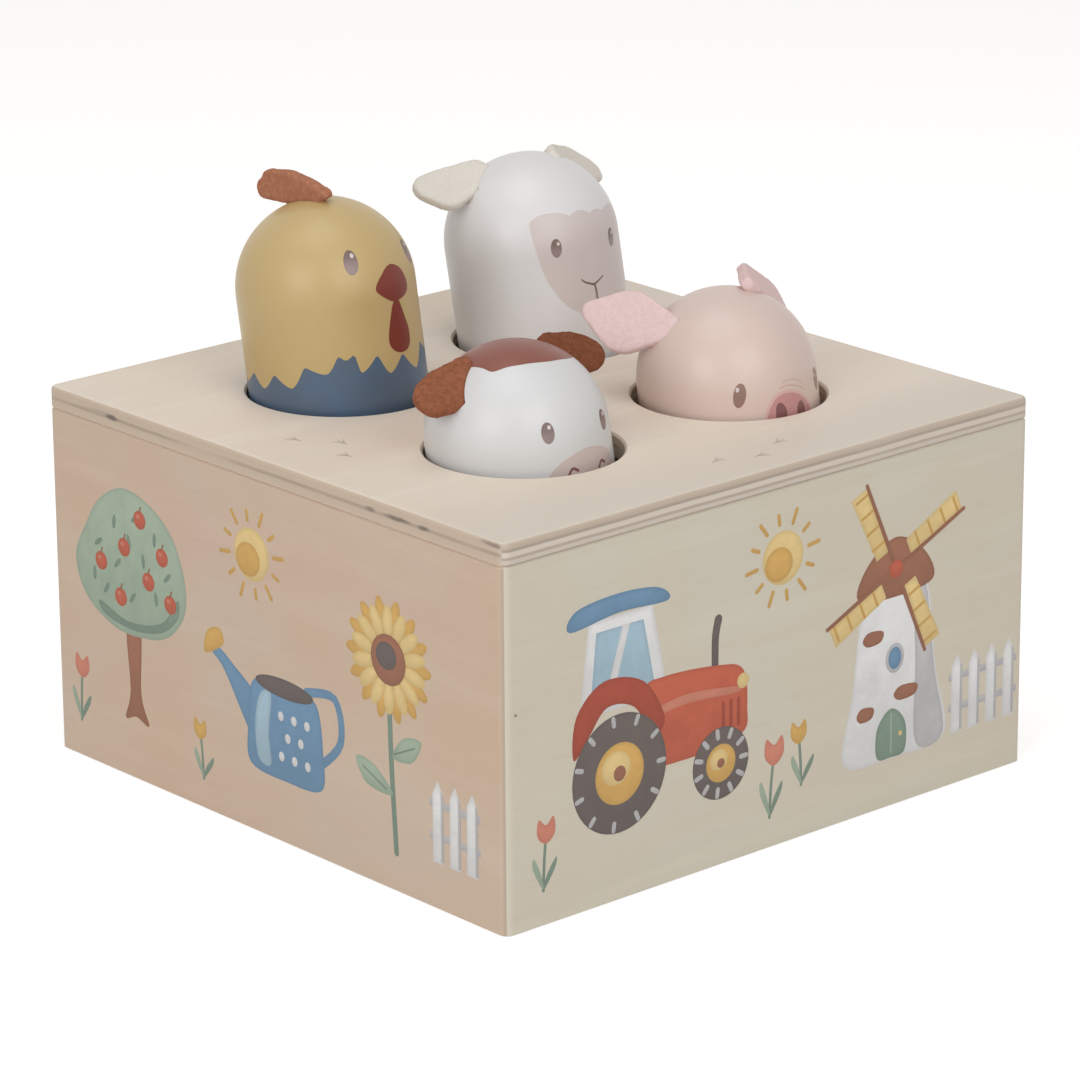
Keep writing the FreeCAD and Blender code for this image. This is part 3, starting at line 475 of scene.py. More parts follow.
def satin_paint(name, colour, roughness=0.4, upper=None, wash=None):
    """Brushed-on satin paint. It turns to upper in the upper part, and has clouds of wash."""
    finish = Finish(name, roughness=roughness)
    finish.shader.inputs["Coat Weight"].default_value = 0.15
    finish.shader.inputs["Coat Roughness"].default_value = 0.28
    soft = finish.noise(finish.point(), 70.0, detail=3.0)
    fine = finish.noise(finish.point(), 1500.0, detail=2.0)
    tone = colour
    if upper:
        tone = finish.mix(finish.step(finish.written("rise"), 0.25, 0.8), colour, upper)
    if wash:
        clouds = finish.noise(finish.stirred(40.0, 0.01), 55.0, detail=2.0)
        tone = finish.mix(finish.step(clouds, 0.4, 0.66, 0.5), tone, wash)
    tone = finish.mix(finish.step(soft, 0.35, 0.7, 0.3), tone, shade(upper or colour, 0.93))
    tone = finish.mix(finish.step(fine, 0.5, 0.75, 0.2), tone, shade(colour, 1.05))
    gloss = roughness - 0.04 + soft * 0.08
    return finish.paint(tone, roughness=gloss, height=fine + soft, strength=0.06,
                        distance=0.15 * MM)


def print_ink(name, colour):
    """Water-based ink on veneer: a wash that pools at its rim, with the grain showing."""
    finish = Finish(name, roughness=0.6)
    point = finish.point()
    pools = finish.noise(point, 150.0, detail=4.0, roughness=0.6)
    weave = finish.noise(finish.vector("MULTIPLY", point, (0.2, 0.2, 1.0)), 2200.0, detail=2.0)
    wash = finish.written("rise") * 0.5 + pools * 0.8
    tone = finish.mix(finish.step(wash, 0.35, 0.95, 0.8), shade(colour, 0.9), shade(colour, 1.18))
    tone = finish.mix(finish.step(finish.written("rim"), 0.1, 1.0, 0.55), tone,
                      shade(colour, 0.78))
    tone = finish.mix(finish.step(weave, 0.5, 0.75, 0.25), tone, shade(colour, 0.86))
    return finish.paint(tone, height=weave, strength=0.1, distance=0.1 * MM)


def wool_felt(name, colour, contrast):
    """Pressed wool: short matted fibres, lighter and darker tufts and a soft sheen.

    contrast is how much its tufts and fibres differ.
    """
    finish = Finish(name, roughness=0.95, sheen=0.3)
    finish.shader.inputs["Sheen Roughness"].default_value = 0.6
    finish.shader.inputs["Sheen Tint"].default_value = (*shade(colour, 1.15), 1.0)
    finish.shader.inputs["Specular IOR Level"].default_value = 0.2
    fibres = finish.noise(finish.stirred(420.0, 0.004, 3.0), 2100.0, detail=5.0, roughness=0.7)
    tufts = finish.noise(finish.point(), 800.0, detail=3.0)
    tone = finish.mix(finish.step(tufts, 0.38, 0.66), shade(colour, 1 - 0.22 * contrast),
                      shade(colour, 1 + 0.1 * contrast))
    tone = finish.mix(finish.step(fibres, 0.45, 0.72, 0.7 * contrast), tone,
                      shade(colour, 1.3))
    tone = finish.mix(finish.step(fibres, 0.48, 0.25, 0.9 * contrast), tone,
                      shade(colour, 0.55))
    return finish.paint(tone, height=fibres + tufts * 0.6, strength=0.35 + 0.35 * contrast,
                        distance=0.4 * MM)


# ---------------------------------------------------------------------------
# Outlines, in millimetres on a flat sheet
# ---------------------------------------------------------------------------


def rounded(points, steps=6):
    """A closed smooth curve through the points."""
    count = len(points)
    curve = []
    for index in range(count):
        p0, p1, p2, p3 = (points[(index + shift) % count] for shift in (-1, 0, 1, 2))
        for step in range(steps):
            curve.append(spline_point(p0, p1, p2, p3, step / steps))
    return curve


def spline_point(p0, p1, p2, p3, t):
    """A point between p1 and p2 on the curve through all four."""
    return tuple(
        0.5 * (2 * b + (c - a) * t + (2 * a - 5 * b + 4 * c - d) * t ** 2
               + (3 * b - a - 3 * c + d) * t ** 3)
        for a, b, c, d in zip(p0, p1, p2, p3))


def oval(x, y, across, up, tilt=0.0, steps=32):
    """An ellipse by its half sizes, turned anticlockwise by tilt degrees."""
    turn = math.radians(tilt)
    points = []
    for step in range(steps):
        angle = 2 * math.pi * step / steps
        px, py = across * math.cos(angle), up * math.sin(angle)
        points.append((x + px * math.cos(turn) - py * math.sin(turn),
                       y + px * math.sin(turn) + py * math.cos(turn)))
    return points


def arc_points(x, y, radius, start, end, steps=12):
    """Points on a circle from start to end, in degrees."""
    angles = [math.radians(start + (end - start) * step / steps) for step in range(steps + 1)]
    return [(x + radius * math.cos(angle), y + radius * math.sin(angle)) for angle in angles]


def brush_stroke(points, width, end_width=None, steps=5):
    """The outline of a smooth stroke along the points, with round ends."""
    end_width = width if end_width is None else end_width
    path = []
    ends = [points[0]] + list(points) + [points[-1]]
    for index in range(len(points) - 1):
        for step in range(steps):
            path.append(spline_point(*ends[index:index + 4], step / steps))
    path.append(points[-1])
    left, right = [], []
    for index, (x, y) in enumerate(path):
        ax, ay = path[max(0, index - 1)]
        bx, by = path[min(len(path) - 1, index + 1)]
        length = math.hypot(bx - ax, by - ay) or 1.0
        nx, ny = -(by - ay) / length, (bx - ax) / length
        half = (width + (end_width - width) * index / (len(path) - 1)) / 2
        left.append((x + nx * half, y + ny * half))
        right.append((x - nx * half, y - ny * half))
    heading = math.degrees(math.atan2(path[-1][1] - path[-2][1], path[-1][0] - path[-2][0]))
    tail = math.degrees(math.atan2(path[1][1] - path[0][1], path[1][0] - path[0][0]))
    cap = arc_points(*path[-1], end_width / 2, heading + 90, heading - 90, 6)[1:-1]
    foot = arc_points(*path[0], width / 2, tail - 90, tail - 270, 6)[1:-1]
    return left + cap + right[::-1] + foot


def moved(points, x, y, scale=1.0, tilt=0.0):
    """The points scaled, turned and shifted."""
    turn = math.radians(tilt)
    return [(x + scale * (px * math.cos(turn) - py * math.sin(turn)),
             y + scale * (px * math.sin(turn) + py * math.cos(turn))) for px, py in points]


# ---------------------------------------------------------------------------
# Layers of ink and paint
# ---------------------------------------------------------------------------


def inside(point, outline):
    """True where the point lies inside the outline."""
    x, y = point
    hit = False
    for (ax, ay), (bx, by) in zip(outline, outline[1:] + outline[:1]):
        if (ay > y) != (by > y) and x < (bx - ax) * (y - ay) / (by - ay) + ax:
            hit = not hit
    return hit


def finer(outline, longest):
    """The outline with no side longer than that."""
    result = []
    for (ax, ay), (bx, by) in zip(outline, outline[1:] + outline[:1]):
        pieces = max(1, math.ceil(math.hypot(bx - ax, by - ay) / longest))
        for step in range(pieces):
            part = step / pieces
            result.append((ax + (bx - ax) * part, ay + (by - ay) * part))
    return result


class LayeredMesh:
    """Thin closed layers of colour that lie on a surface, gathered into one piece.

    Each point of the mesh carries how far up its shape it lies, and how near the rim.
    """

    RIM = 1.6  # how far in from an outline its rim reaches, in millimetres

    def __init__(self, name, place, thickness, cell):
        self.name = name
        self.place = place
        self.thickness = thickness
        self.cell = cell
        self.vertices = []
        self.rise = []
        self.rim = []
        self.faces = []
        self.colours = []
        self.finishes = []

    def add(self, outline, finish, layer=0):
        """Fills an outline with a colour. A higher layer lies over a lower one."""
        outline = finer(outline, self.cell)
        grid = self.grid_inside(outline)
        points = [Vector(point) for point in outline] + [Vector(point) for point, _ in grid]
        away = [0.0] * len(outline) + [near for _, near in grid]
        count = len(outline)
        sides = [(index, (index + 1) % count) for index in range(count)]
        flat, _, triangles, origins, *_ = delaunay_2d_cdt(points, sides, [], 1, 1e-7)
        if finish not in self.finishes:
            self.finishes.append(finish)
        start = len(self.vertices)
        top = self.thickness * (layer + 1)
        self.vertices += [self.place(point.x, point.y, top) for point in flat]
        self.vertices += [self.place(point.x, point.y, -self.thickness) for point in flat]
        low, high = min(point.y for point in flat), max(point.y for point in flat)
        self.rise += [(point.y - low) / (high - low) for point in flat] * 2
        near = [max(0.0, 1 - away[origin[0]] / self.RIM) if origin else 1.0
                for origin in origins]
        self.rim += near * 2
        new_faces = closed_shell(flat, triangles)
        self.faces += [tuple(start + corner for corner in face) for face in new_faces]
        self.colours += [self.finishes.index(finish)] * len(new_faces)

    def grid_inside(self, outline):
        """Evenly spaced points inside an outline, each with its distance from the outline."""
        xs, ys = [p[0] for p in outline], [p[1] for p in outline]
        points = []
        rows = int((max(ys) - min(ys)) / self.cell) + 1
        columns = int((max(xs) - min(xs)) / self.cell) + 2
        for row in range(1, rows):
            for column in range(columns):
                point = (min(xs) + (column + row % 2 / 2) * self.cell, min(ys) + row * self.cell)
                if inside(point, outline):
                    near = min(math.dist(point, corner) for corner in outline)
                    if near > 0.4 * self.cell:
                        points.append((point, near))
        return points

    def build(self, body):
        """Makes the piece that holds all the layers."""
        mesh = bpy.data.meshes.new(self.name)
        mesh.from_pydata([tuple(vertex) for vertex in self.vertices], [], self.faces)
        for finish in self.finishes:
            mesh.materials.append(finish)
        mesh.polygons.foreach_set("material_index", self.colours)
        for name, values in (("rise", self.rise), ("rim", self.rim)):
            mesh.attributes.new(name, "FLOAT", "POINT").data.foreach_set("value", values)
        mesh.update()
        add_piece(self.name, mesh, body)


def closed_shell(flat, triangles):
    """Faces of a sheet, of the same sheet below it, and of the wall that joins their rims."""
    below = len(flat)
    faces, sides = [], set()
    for a, b, c in triangles:
        if (flat[b] - flat[a]).cross(flat[c] - flat[a]) < 0:
            a, c = c, a
        faces += [(a, b, c), (a + below, c + below, b + below)]
        sides |= {(a, b), (b, c), (c, a)}
    faces += [(a, a + below, b + below, b) for a, b in sorted(sides) if (b, a) not in sides]
    return faces


def add_piece(name, mesh, body):
    """Puts a new piece in the scene, on the body that carries it."""
    piece = bpy.data.objects.new(name, mesh)
    bpy.context.scene.collection.objects.link(piece)
    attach(piece, body)
    return piece


def dress_node(name, finish):
    """Gives a CAD node a finish of its own."""
    for holder in frame["nodes"][name].material_slots:
        holder.material = finish


# ---------------------------------------------------------------------------
# The box and its prints
# ---------------------------------------------------------------------------

PRINT_CELL = 1.6  # size of a mesh cell of a print, in millimetres


def on_front(x, z, lift):
    """A place on the front, x to the right and z up from the base, in millimetres."""
    return Vector((x * MM, FRONT_Y - lift, z * MM))


def on_left(x, z, lift):
    """A place on the left side: x is to the right as one looks at that side."""
    return Vector((LEFT_X - lift, -x * MM, z * MM))


def on_right(x, z, lift):
    """A place on the right side: x is to the right as one looks at that side."""
    return Vector((-LEFT_X + lift, x * MM, z * MM))


def on_back(x, z, lift):
    """A place on the back: x is to the right as one looks at it."""
    return Vector((-x * MM, lift - FRONT_Y, z * MM))


def on_lid(x, y, lift):
    """A place on the lid, x to the right and y to the back."""
    return Vector((x * MM, y * MM, LID_HIGH + lift))


class Inks:
    """The print colours, each made once."""

    def __init__(self, settings):
        self.settings = settings
        self.made = {}

    def __getattr__(self, name):
        made = self.__dict__["made"]
        if name not in made:
            made[name] = print_ink("ink_" + name, tuple(getattr(self.settings, name)))
        return made[name]


def draw_tractor(sheet, inks):
    """A brick red tractor with ochre hubs and a blue roof."""
    sheet.add(brush_stroke([(-21, 50), (-21, 60), (-20, 65)], 2.2, 2.6), inks.soot)
    sheet.add([(-66, 50), (-63, 74), (-42, 74), (-37, 50)], inks.chalk)
    sheet.add([(-62.5, 52), (-60.5, 71), (-45, 71), (-41, 52)], inks.sky, 1)
    sheet.add([(-58, 52), (-52, 71), (-49.5, 71), (-55.5, 52)], inks.chalk, 2)
    sheet.add(rounded([(-69, 73), (-67, 78), (-53, 79.5), (-40, 78), (-37, 74), (-53, 74.6)]),
              inks.blue, 2)
    sheet.add(rounded([(-46, 34), (-45, 52), (-38, 54.5), (-20, 53), (-11.5, 50), (-10, 40),
                       (-12, 33), (-30, 31)]), inks.red, 1.5)
    sheet.add(rounded([(-42, 46.5), (-30, 48), (-14, 46), (-14, 44.4), (-30, 45.6), (-42, 44.6)]),
              inks.coral, 2)
    for x in (-18.2, -15.6, -13.0):
        sheet.add(brush_stroke([(x, 36), (x, 42.6)], 1.1), inks.deep_red, 2)
    sheet.add(rounded([(-68, 40), (-67, 51), (-58, 58), (-45, 55), (-38, 44), (-42, 40),
                       (-48, 49), (-57, 51), (-63, 45)]), inks.deep_red, 3)
    for x, y, radius, hub in ((-53, 33, 15.5, 8), (-19, 27, 9.5, 5)):
        sheet.add(oval(x, y, radius, radius, steps=44), inks.soot, 4)
        for spoke in range(11):
            turn = math.radians(spoke * 360 / 11)
            near, far = radius - 2.6, radius - 0.8
            sheet.add(brush_stroke([(x + near * math.cos(turn), y + near * math.sin(turn)),
                                    (x + far * math.cos(turn), y + far * math.sin(turn))], 1.3),
                      inks.mist, 5)
        sheet.add(oval(x, y, hub, hub), inks.ochre, 5)
        sheet.add(oval(x - hub * 0.15, y + hub * 0.2, hub * 0.6, hub * 0.55), inks.straw, 6)
        sheet.add(oval(x, y, hub * 0.25, hub * 0.25), inks.brown, 7)
    sheet.add(oval(-11.5, 47, 2.0, 2.0), inks.straw, 2.5)


def draw_windmill(sheet, inks):
    """A chalk white windmill with a brown cap and four sails."""
    sheet.add(rounded([(24, 15), (27, 34), (30.5, 58), (38, 61), (47, 61), (53.5, 58),
                       (57, 34), (60.5, 15), (42, 13)]), inks.chalk)
    sheet.add(rounded([(50, 15), (49.5, 38), (48.5, 59), (53, 57.5), (56.5, 34), (60, 15.5)]),
              inks.mist, 1)
    for x, y, across in ((34, 47, 3.6), (46, 30, 4.2), (31.5, 27, 3.0), (51, 49, 2.6)):
        sheet.add(rounded([(x - across, y), (x - across * 0.4, y + 1.9), (x + across, y + 1.2),
                           (x + across * 0.8, y - 1.5), (x - across * 0.5, y - 1.9)]),
                  inks.brown, 2)
    sheet.add(rounded([(28.5, 58.5), (32, 67), (42, 72.5), (52, 67), (55.5, 58.5), (42, 56.5)]),
              inks.brown, 2)
    sheet.add(rounded([(36, 14), (36, 22), (41, 26.5), (46, 22), (46, 14), (41, 13.2)]),
              inks.leaf, 3)
    sheet.add(brush_stroke([(41, 14.5), (41, 25)], 0.7), inks.sage, 4)
    sheet.add(oval(44.4, 19, 0.7, 0.7), inks.straw, 4)
    sheet.add(oval(42, 40, 3.3, 4.0), inks.mist, 2)
    sheet.add(oval(42, 40, 2.3, 3.0), inks.blue, 3)
    hub = (42, 64)
    for quarter in range(4):
        tilt = 24 + 90 * quarter
        arm = moved([(0, -0.7), (27, -0.5), (27, 0.5), (0, 0.7)], *hub, tilt=tilt)
        sail = moved([(6, 0.6), (26, 0.6), (26, 6.2), (6, 5.0)], *hub, tilt=tilt)
        sheet.add(sail, inks.straw, 4)
        sheet.add(arm, inks.brown, 5 + quarter * 0.2)
        for rung in range(4):
            bar = moved([(9 + 5 * rung, 0.6), (9.8 + 5 * rung, 0.6), (9.8 + 5 * rung, 5.4),
                         (9 + 5 * rung, 5.3)], *hub, tilt=tilt)
            sheet.add(bar, inks.ochre, 4.5)
    sheet.add(oval(*hub, 2.4, 2.4), inks.red, 6)


def draw_tulip(sheet, inks, x, y, height, lean, head):
    """A tulip on a curved stem with two long leaves."""
    top = (x + lean, y + height)
    sheet.add(brush_stroke([(x, y), (x + lean * 0.3, y + height * 0.5), top], 0.9), inks.leaf)
    sheet.add(rounded([(x, y), (x - 3.4, y + height * 0.42), (x - 3.0, y + height * 0.6),
                       (x - 0.8, y + height * 0.3)]), inks.sage, 1)
    sheet.add(rounded([(x, y), (x + 3.8, y + height * 0.34), (x + 4.2, y + height * 0.52),
                       (x + 1.2, y + height * 0.26)]), inks.leaf, 1.5)
    size = height * 0.2
    sheet.add(rounded([(top[0], top[1] - size), (top[0] + size * 0.95, top[1] - size * 0.2),
                       (top[0] + size * 0.8, top[1] + size * 1.2),
                       (top[0], top[1] + size * 0.6), (top[0] - size * 0.8, top[1] + size * 1.2),
                       (top[0] - size * 0.95, top[1] - size * 0.2)]), head, 1)


def draw_sun(sheet, inks, x, y, radius):
    """A round sun with short rays."""
    for ray in range(12):
        turn = math.radians(ray * 30 + 8)
        near, far = radius * 1.28, radius * (1.62 if ray % 2 else 1.8)
        sheet.add(brush_stroke([(x + near * math.cos(turn), y + near * math.sin(turn)),
                                (x + far * math.cos(turn), y + far * math.sin(turn))],
                               radius * 0.16), inks.ochre)
    sheet.add(oval(x, y, radius, radius), inks.straw)
    sheet.add(oval(x - radius * 0.2, y - radius * 0.22, radius * 0.68, radius * 0.64),
              inks.ochre, 1)


def draw_tree(sheet, inks, x, y):
    """A round apple tree."""
    sheet.add(rounded([(x - 4.6, y), (x - 2.2, y + 8), (x - 3.0, y + 26), (x + 3.0, y + 26),
                       (x + 2.4, y + 8), (x + 5.4, y), (x, y + 1.2)]), inks.brown)
    crown = [(-20, 30), (-24, 40), (-19, 50), (-13, 58), (-3, 63), (8, 61), (17, 55), (22, 45),
             (22, 35), (15, 27), (5, 24), (-8, 24)]
    sheet.add(rounded([(x + px, y + py) for px, py in crown]), inks.sage, 1)
    sheet.add(rounded([(x - 14, y + 30), (x - 2, y + 27), (x + 12, y + 30), (x + 19, y + 38),
                       (x + 19, y + 33), (x + 12, y + 27.4), (x, y + 25), (x - 12, y + 26.6)]),
              inks.leaf, 2)
    dabs = ((-14, 46), (-7, 53), (2, 56), (10, 52), (15, 43), (-16, 37), (-6, 42), (5, 45),
            (0, 34), (10, 36), (-11, 34), (-1, 49))
    for number, (px, py) in enumerate(dabs):
        sheet.add(oval(x + px, y + py, 2.0, 0.7, 35 + number * 47 % 90, 12), inks.leaf, 3)
    for px, py in ((-13, 41), (-3, 47), (7, 40), (13, 48), (-5, 33), (4, 56), (16, 36)):
        sheet.add(oval(x + px, y + py, 2.5, 2.5, steps=20), inks.red, 4)
        sheet.add(oval(x + px - 0.7, y + py + 0.8, 0.8, 0.6, steps=12), inks.coral, 5)
        sheet.add(brush_stroke([(x + px, y + py + 2.2), (x + px + 0.6, y + py + 3.6)], 0.5),
                  inks.brown, 5)


def draw_watering_can(sheet, inks, x, y):
    """A blue watering can with a spotted belly."""
    sheet.add(brush_stroke([(x + 9, y + 25), (x + 20, y + 26), (x + 22, y + 15),
                            (x + 13, y + 6)], 2.4), inks.blue)
    sheet.add(rounded([(x - 12, y + 6), (x - 24, y + 22), (x - 29, y + 26), (x - 27, y + 28),
                       (x - 21, y + 25), (x - 10, y + 17)]), inks.blue)
    sheet.add(rounded([(x - 32, y + 25), (x - 31, y + 31), (x - 26, y + 33), (x - 24.5, y + 29)]),
              inks.ochre, 1)
    sheet.add(rounded([(x - 14, y), (x - 15, y + 10), (x - 13, y + 22), (x - 6, y + 24),
                       (x + 6, y + 24), (x + 13, y + 22), (x + 15, y + 10), (x + 14, y),
                       (x, y - 1.4)]), inks.blue, 1)
    sheet.add(oval(x, y + 23.4, 11.5, 2.6), inks.soot, 2)
    sheet.add(rounded([(x - 11, y + 2.4), (x - 12, y + 12), (x - 9.6, y + 20), (x - 5.4, y + 20.6),
                       (x - 6.6, y + 10), (x - 6, y + 1.6)]), inks.sky, 1.5)
    for row in range(3):
        for column in range(3 - row % 2):
            px = x - 1.6 + 5.2 * column + row % 2 * 2.6
            sheet.add(oval(px, y + 5 + row * 5.4, 1.1, 1.3, steps=14), inks.chalk, 2)


def draw_sunflower(sheet, inks, x, y, height, size):
    """A sunflower with two rows of petals."""
    top = y + height
    sheet.add(brush_stroke([(x + 2, y), (x + 0.5, y + height * 0.5), (x, top)], 1.8), inks.leaf)
    for side, rise, reach in ((-1, 0.3, 13), (1, 0.5, 12)):
        root = y + height * rise
        sheet.add(rounded([(x + 1, root), (x + side * reach * 0.45, root + 6),
                           (x + side * reach, root + 6.6), (x + side * reach * 0.7, root + 0.4)]),
                  inks.sage, 1)
        sheet.add(brush_stroke([(x + side * 1.5, root + 0.8), (x + side * reach * 0.8, root + 4.6)],
                               0.5), inks.leaf, 2)
    for ring, (count, finish) in enumerate(((14, inks.ochre), (14, inks.straw))):
        for petal in range(count):
            tilt = petal * 360 / count + ring * 13
            reach = size * (0.74 - 0.08 * ring)
            px = x + reach * math.cos(math.radians(tilt))
            py = top + reach * math.sin(math.radians(tilt))
            sheet.add(oval(px, py, size * (0.34 - 0.05 * ring), size * 0.13, tilt, 18),
                      finish, 1 + ring)
    sheet.add(oval(x, top, size * 0.44, size * 0.44), inks.brown, 3)
    sheet.add(oval(x - size * 0.05, top + size * 0.06, size * 0.26, size * 0.24), inks.soot, 4)


def draw_fence(sheet, inks, x, y, pales):
    """White picket fence with two rails."""
    pitch = 6.4
    width = pales * pitch
    for rise in (6.0, 14.5):
        sheet.add([(x - 1, y + rise), (x + width - 1.4, y + rise), (x + width - 1.4, y + rise + 2),
                   (x - 1, y + rise + 2)], inks.mist)
    for pale in range(pales):
        left = x + pale * pitch
        sheet.add([(left, y), (left + 4, y), (left + 4, y + 18), (left + 2, y + 21.5),
                   (left, y + 18)], inks.chalk, 1)
        sheet.add([(left + 3.1, y + 0.5), (left + 4, y + 0.5), (left + 4, y + 18),
                   (left + 3.1, y + 19.2)], inks.mist, 2)


def draw_track(sheet, inks, x, y, tilt):
    """A small three-toed bird's track."""
    for layer, toe in enumerate((-32, 0, 32)):
        turn = math.radians(tilt + toe)
        sheet.add(brush_stroke([(x, y), (x + 3.0 * math.cos(turn), y + 3.0 * math.sin(turn))],
                               0.5, 0.35, steps=2), inks.umber, layer)
    turn = math.radians(tilt + 180)
    sheet.add(brush_stroke([(x, y), (x + 1.2 * math.cos(turn), y + 1.2 * math.sin(turn))],
                           0.4, steps=2), inks.umber, 3)


# The tracks on the lid: x and y of the heel, and the heading in degrees.
TRACKS = ((-73, 8, 100), (-66, -2, 84), (-72, -11, 96), (-8, -76, 8), (3, -80, -6),
          (14, -75, 10), (74, 6, 268), (68, 17, 280), (75, 27, 262), (-3, 70, 190),
          (-14, 75, 176), (0, 0, 140))


def draw_front(sheet, inks):
    """The pictures on the front."""
    draw_tractor(sheet, inks)
    draw_windmill(sheet, inks)
    draw_fence(sheet, inks, 63, 14, 4)
    draw_sun(sheet, inks, 2, 76, 7)
    draw_tulip(sheet, inks, -2, 8, 17, 1.5, inks.coral)
    draw_tulip(sheet, inks, 9, 14, 14, -1.0, inks.ochre)
    draw_tulip(sheet, inks, -78, 9, 15, 1.0, inks.coral)


def draw_left(sheet, inks):
    """The pictures on the left side."""
    draw_tree(sheet, inks, -56, 16)
    draw_watering_can(sheet, inks, 6, 18)
    draw_sunflower(sheet, inks, 47, 10, 50, 15)
    draw_sun(sheet, inks, -6, 74, 7)
    draw_fence(sheet, inks, 63, 12, 3)
    draw_tulip(sheet, inks, -80, 10, 15, 1.0, inks.coral)
    draw_tulip(sheet, inks, -28, 8, 13, -1.0, inks.ochre)


def draw_right(sheet, inks):
    """The pictures on the right side."""
    draw_sunflower(sheet, inks, -58, 10, 46, 14)
    draw_fence(sheet, inks, -34, 12, 8)
    draw_sun(sheet, inks, 2, 66, 7)
    draw_tulip(sheet, inks, 30, 9, 17, 1.5, inks.coral)
    draw_tree(sheet, inks, 58, 12)


def draw_back(sheet, inks):
    """The pictures on the back."""
    draw_fence(sheet, inks, -76, 12, 7)
    draw_watering_can(sheet, inks, 8, 14)
    draw_sun(sheet, inks, -48, 64, 8)
    draw_tulip(sheet, inks, 38, 9, 18, 1.0, inks.ochre)
    draw_tulip(sheet, inks, 47, 8, 14, -1.0, inks.coral)
    draw_sunflower(sheet, inks, 68, 9, 44, 13)


def draw_tracks(sheet, inks):
    """The tracks on the lid."""
    for x, y, tilt in TRACKS:
        draw_track(sheet, inks, x, y, tilt)


# Each print: its name, what places it, what draws it, and its slot.
PRINTS = (("front_print", on_front, draw_front, "box_wood_front"),
          ("left_print", on_left, draw_left, "box_wood_left"),
          ("right_print", on_right, draw_right, "box_wood_front"),
          ("back_print", on_back, draw_back, "box_wood_front"),
          ("lid_tracks", on_lid, draw_tracks, "lid_wood"))


# ---------------------------------------------------------------------------
# Pegs
# ---------------------------------------------------------------------------

PAINT_CELL = 1.1  # size of a mesh cell of a painted detail, in millimetres

# How far each peg is turned on its axis, in degrees.
TURN = {"chicken": 10.0, "sheep": 0.0, "cow": 4.0, "pig": -2.0}


def slide_axis(animal):
    """The way that a peg slides up, from its joint."""
    joints = frame["record"]["behaviour"]["joints"]
    joint = next(joint for joint in joints if joint["name"] == animal + "_slide")
    return Vector(joint["axis"]).normalized()


class Peg:
    """Where one peg stands: the middle of its round top, and its own three axes."""

    def __init__(self, animal, settings):
        self.axis = slide_axis(animal)
        self.radius = settings.radius
        low, high = (Vector(corner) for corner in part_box(animal + "_foot"))
        reach = settings.foot / 2 + settings.length - settings.radius
        self.centre = (low + high) / 2 + self.axis * reach
        upright = Vector((0, 0, 1)).rotation_difference(self.axis).to_matrix()
        turned = upright @ Matrix.Rotation(math.radians(TURN[animal]), 3, "Z")
        self.side, self.back = turned.col[0].copy(), turned.col[1].copy()

    def skin(self, turn, height, lift):
        """A place on the peg: degrees from its front, and millimetres above its middle."""
        angle = math.radians(turn - 90)
        height = height * MM
        out = self.side * math.cos(angle) + self.back * math.sin(angle)
        if height <= 0:
            return self.centre + out * (self.radius + lift) + self.axis * height
        ring = math.sqrt(max(0.0, self.radius ** 2 - height ** 2))
        grown = 1 + lift / self.radius
        return self.centre + (out * ring + self.axis * height) * grown

    def over(self, x, y, lift):
        """A place on the round top, seen from above it, in millimetres."""
        across = Vector((x * MM, y * MM))
        rise = math.sqrt(max(0.0, self.radius ** 2 - across.length_squared))
        grown = 1 + lift / self.radius
        return self.centre + (self.side * across.x + self.back * across.y
                              + self.axis * rise) * grown

    def face(self, x, y, lift):
        """A place by millimetres along the surface: x round from its front, y up."""
        radius = self.radius / MM
        height = y if y <= 0 else radius * math.sin(y / radius)
        return self.skin(math.degrees(x / radius), height, lift)


def draw_eye(sheet, finishes, iris, place, size, tilt, glint):
    """An oval eye with a glint, whose place is in shares of the eye's half sizes."""
    across, up = size
    sheet.add(oval(*place, across, up, tilt), finishes[iris], 1)
    spot = moved([(across * glint[0], up * glint[1])], *place, tilt=tilt)[0]
    sheet.add(oval(*spot, across * 0.28, up * 0.2, tilt, 16), finishes["glint"], 2)


# The eyes: finish, half sizes, glint, then place and tilt of the left and the right one.
EYES = {
    "chicken": ("eye", (2.15, 3.35), (0.3, 0.52), ((-11.1, 11.3), -8), ((13.2, 7.8), -9)),
    "sheep": ("eye", (1.5, 2.5), (0.4, 0.45), ((-9.8, 1.6), -4), ((9.8, -0.2), -6)),
    "cow": ("eye", (1.75, 2.7), (0.3, 0.5), ((-9.6, 4.8), -3), ((10.4, 2.4), -3)),
    "pig": ("hazel", (1.65, 3.2), (-0.45, 0.45), ((-13.4, 1.0), -13), ((14.6, -1.6), 13)),
}


def paint_chicken(sheet, finishes):
    """Beak and wattle; the feather band is a ring of its own."""
    beak = [(1.6, 7.7), (4.2, 6.2), (5.5, 4.0), (6.1, 1.2), (5.2, -0.8), (2.6, -1.7),
            (-0.8, -1.6), (-3.3, -0.1), (-5.4, 1.8), (-5.9, 3.0), (-5.0, 4.5), (-3.0, 6.1),
            (-0.7, 7.5)]
    sheet.add(rounded(beak), finishes["beak"], 1)
    wattle = [(0.2, -1.1), (-0.9, -1.9), (-1.5, -2.9), (-2.5, -5.5), (-3.4, -8.3), (-3.9, -10.8),
              (-3.7, -12.6), (-2.6, -14.2), (-0.7, -15.3), (1.5, -15.5), (3.1, -14.9),
              (4.0, -13.2), (4.0, -10.2), (3.1, -7.2), (2.1, -4.2), (1.3, -2.0)]
    sheet.add(rounded(wattle), finishes["beak"], 2)


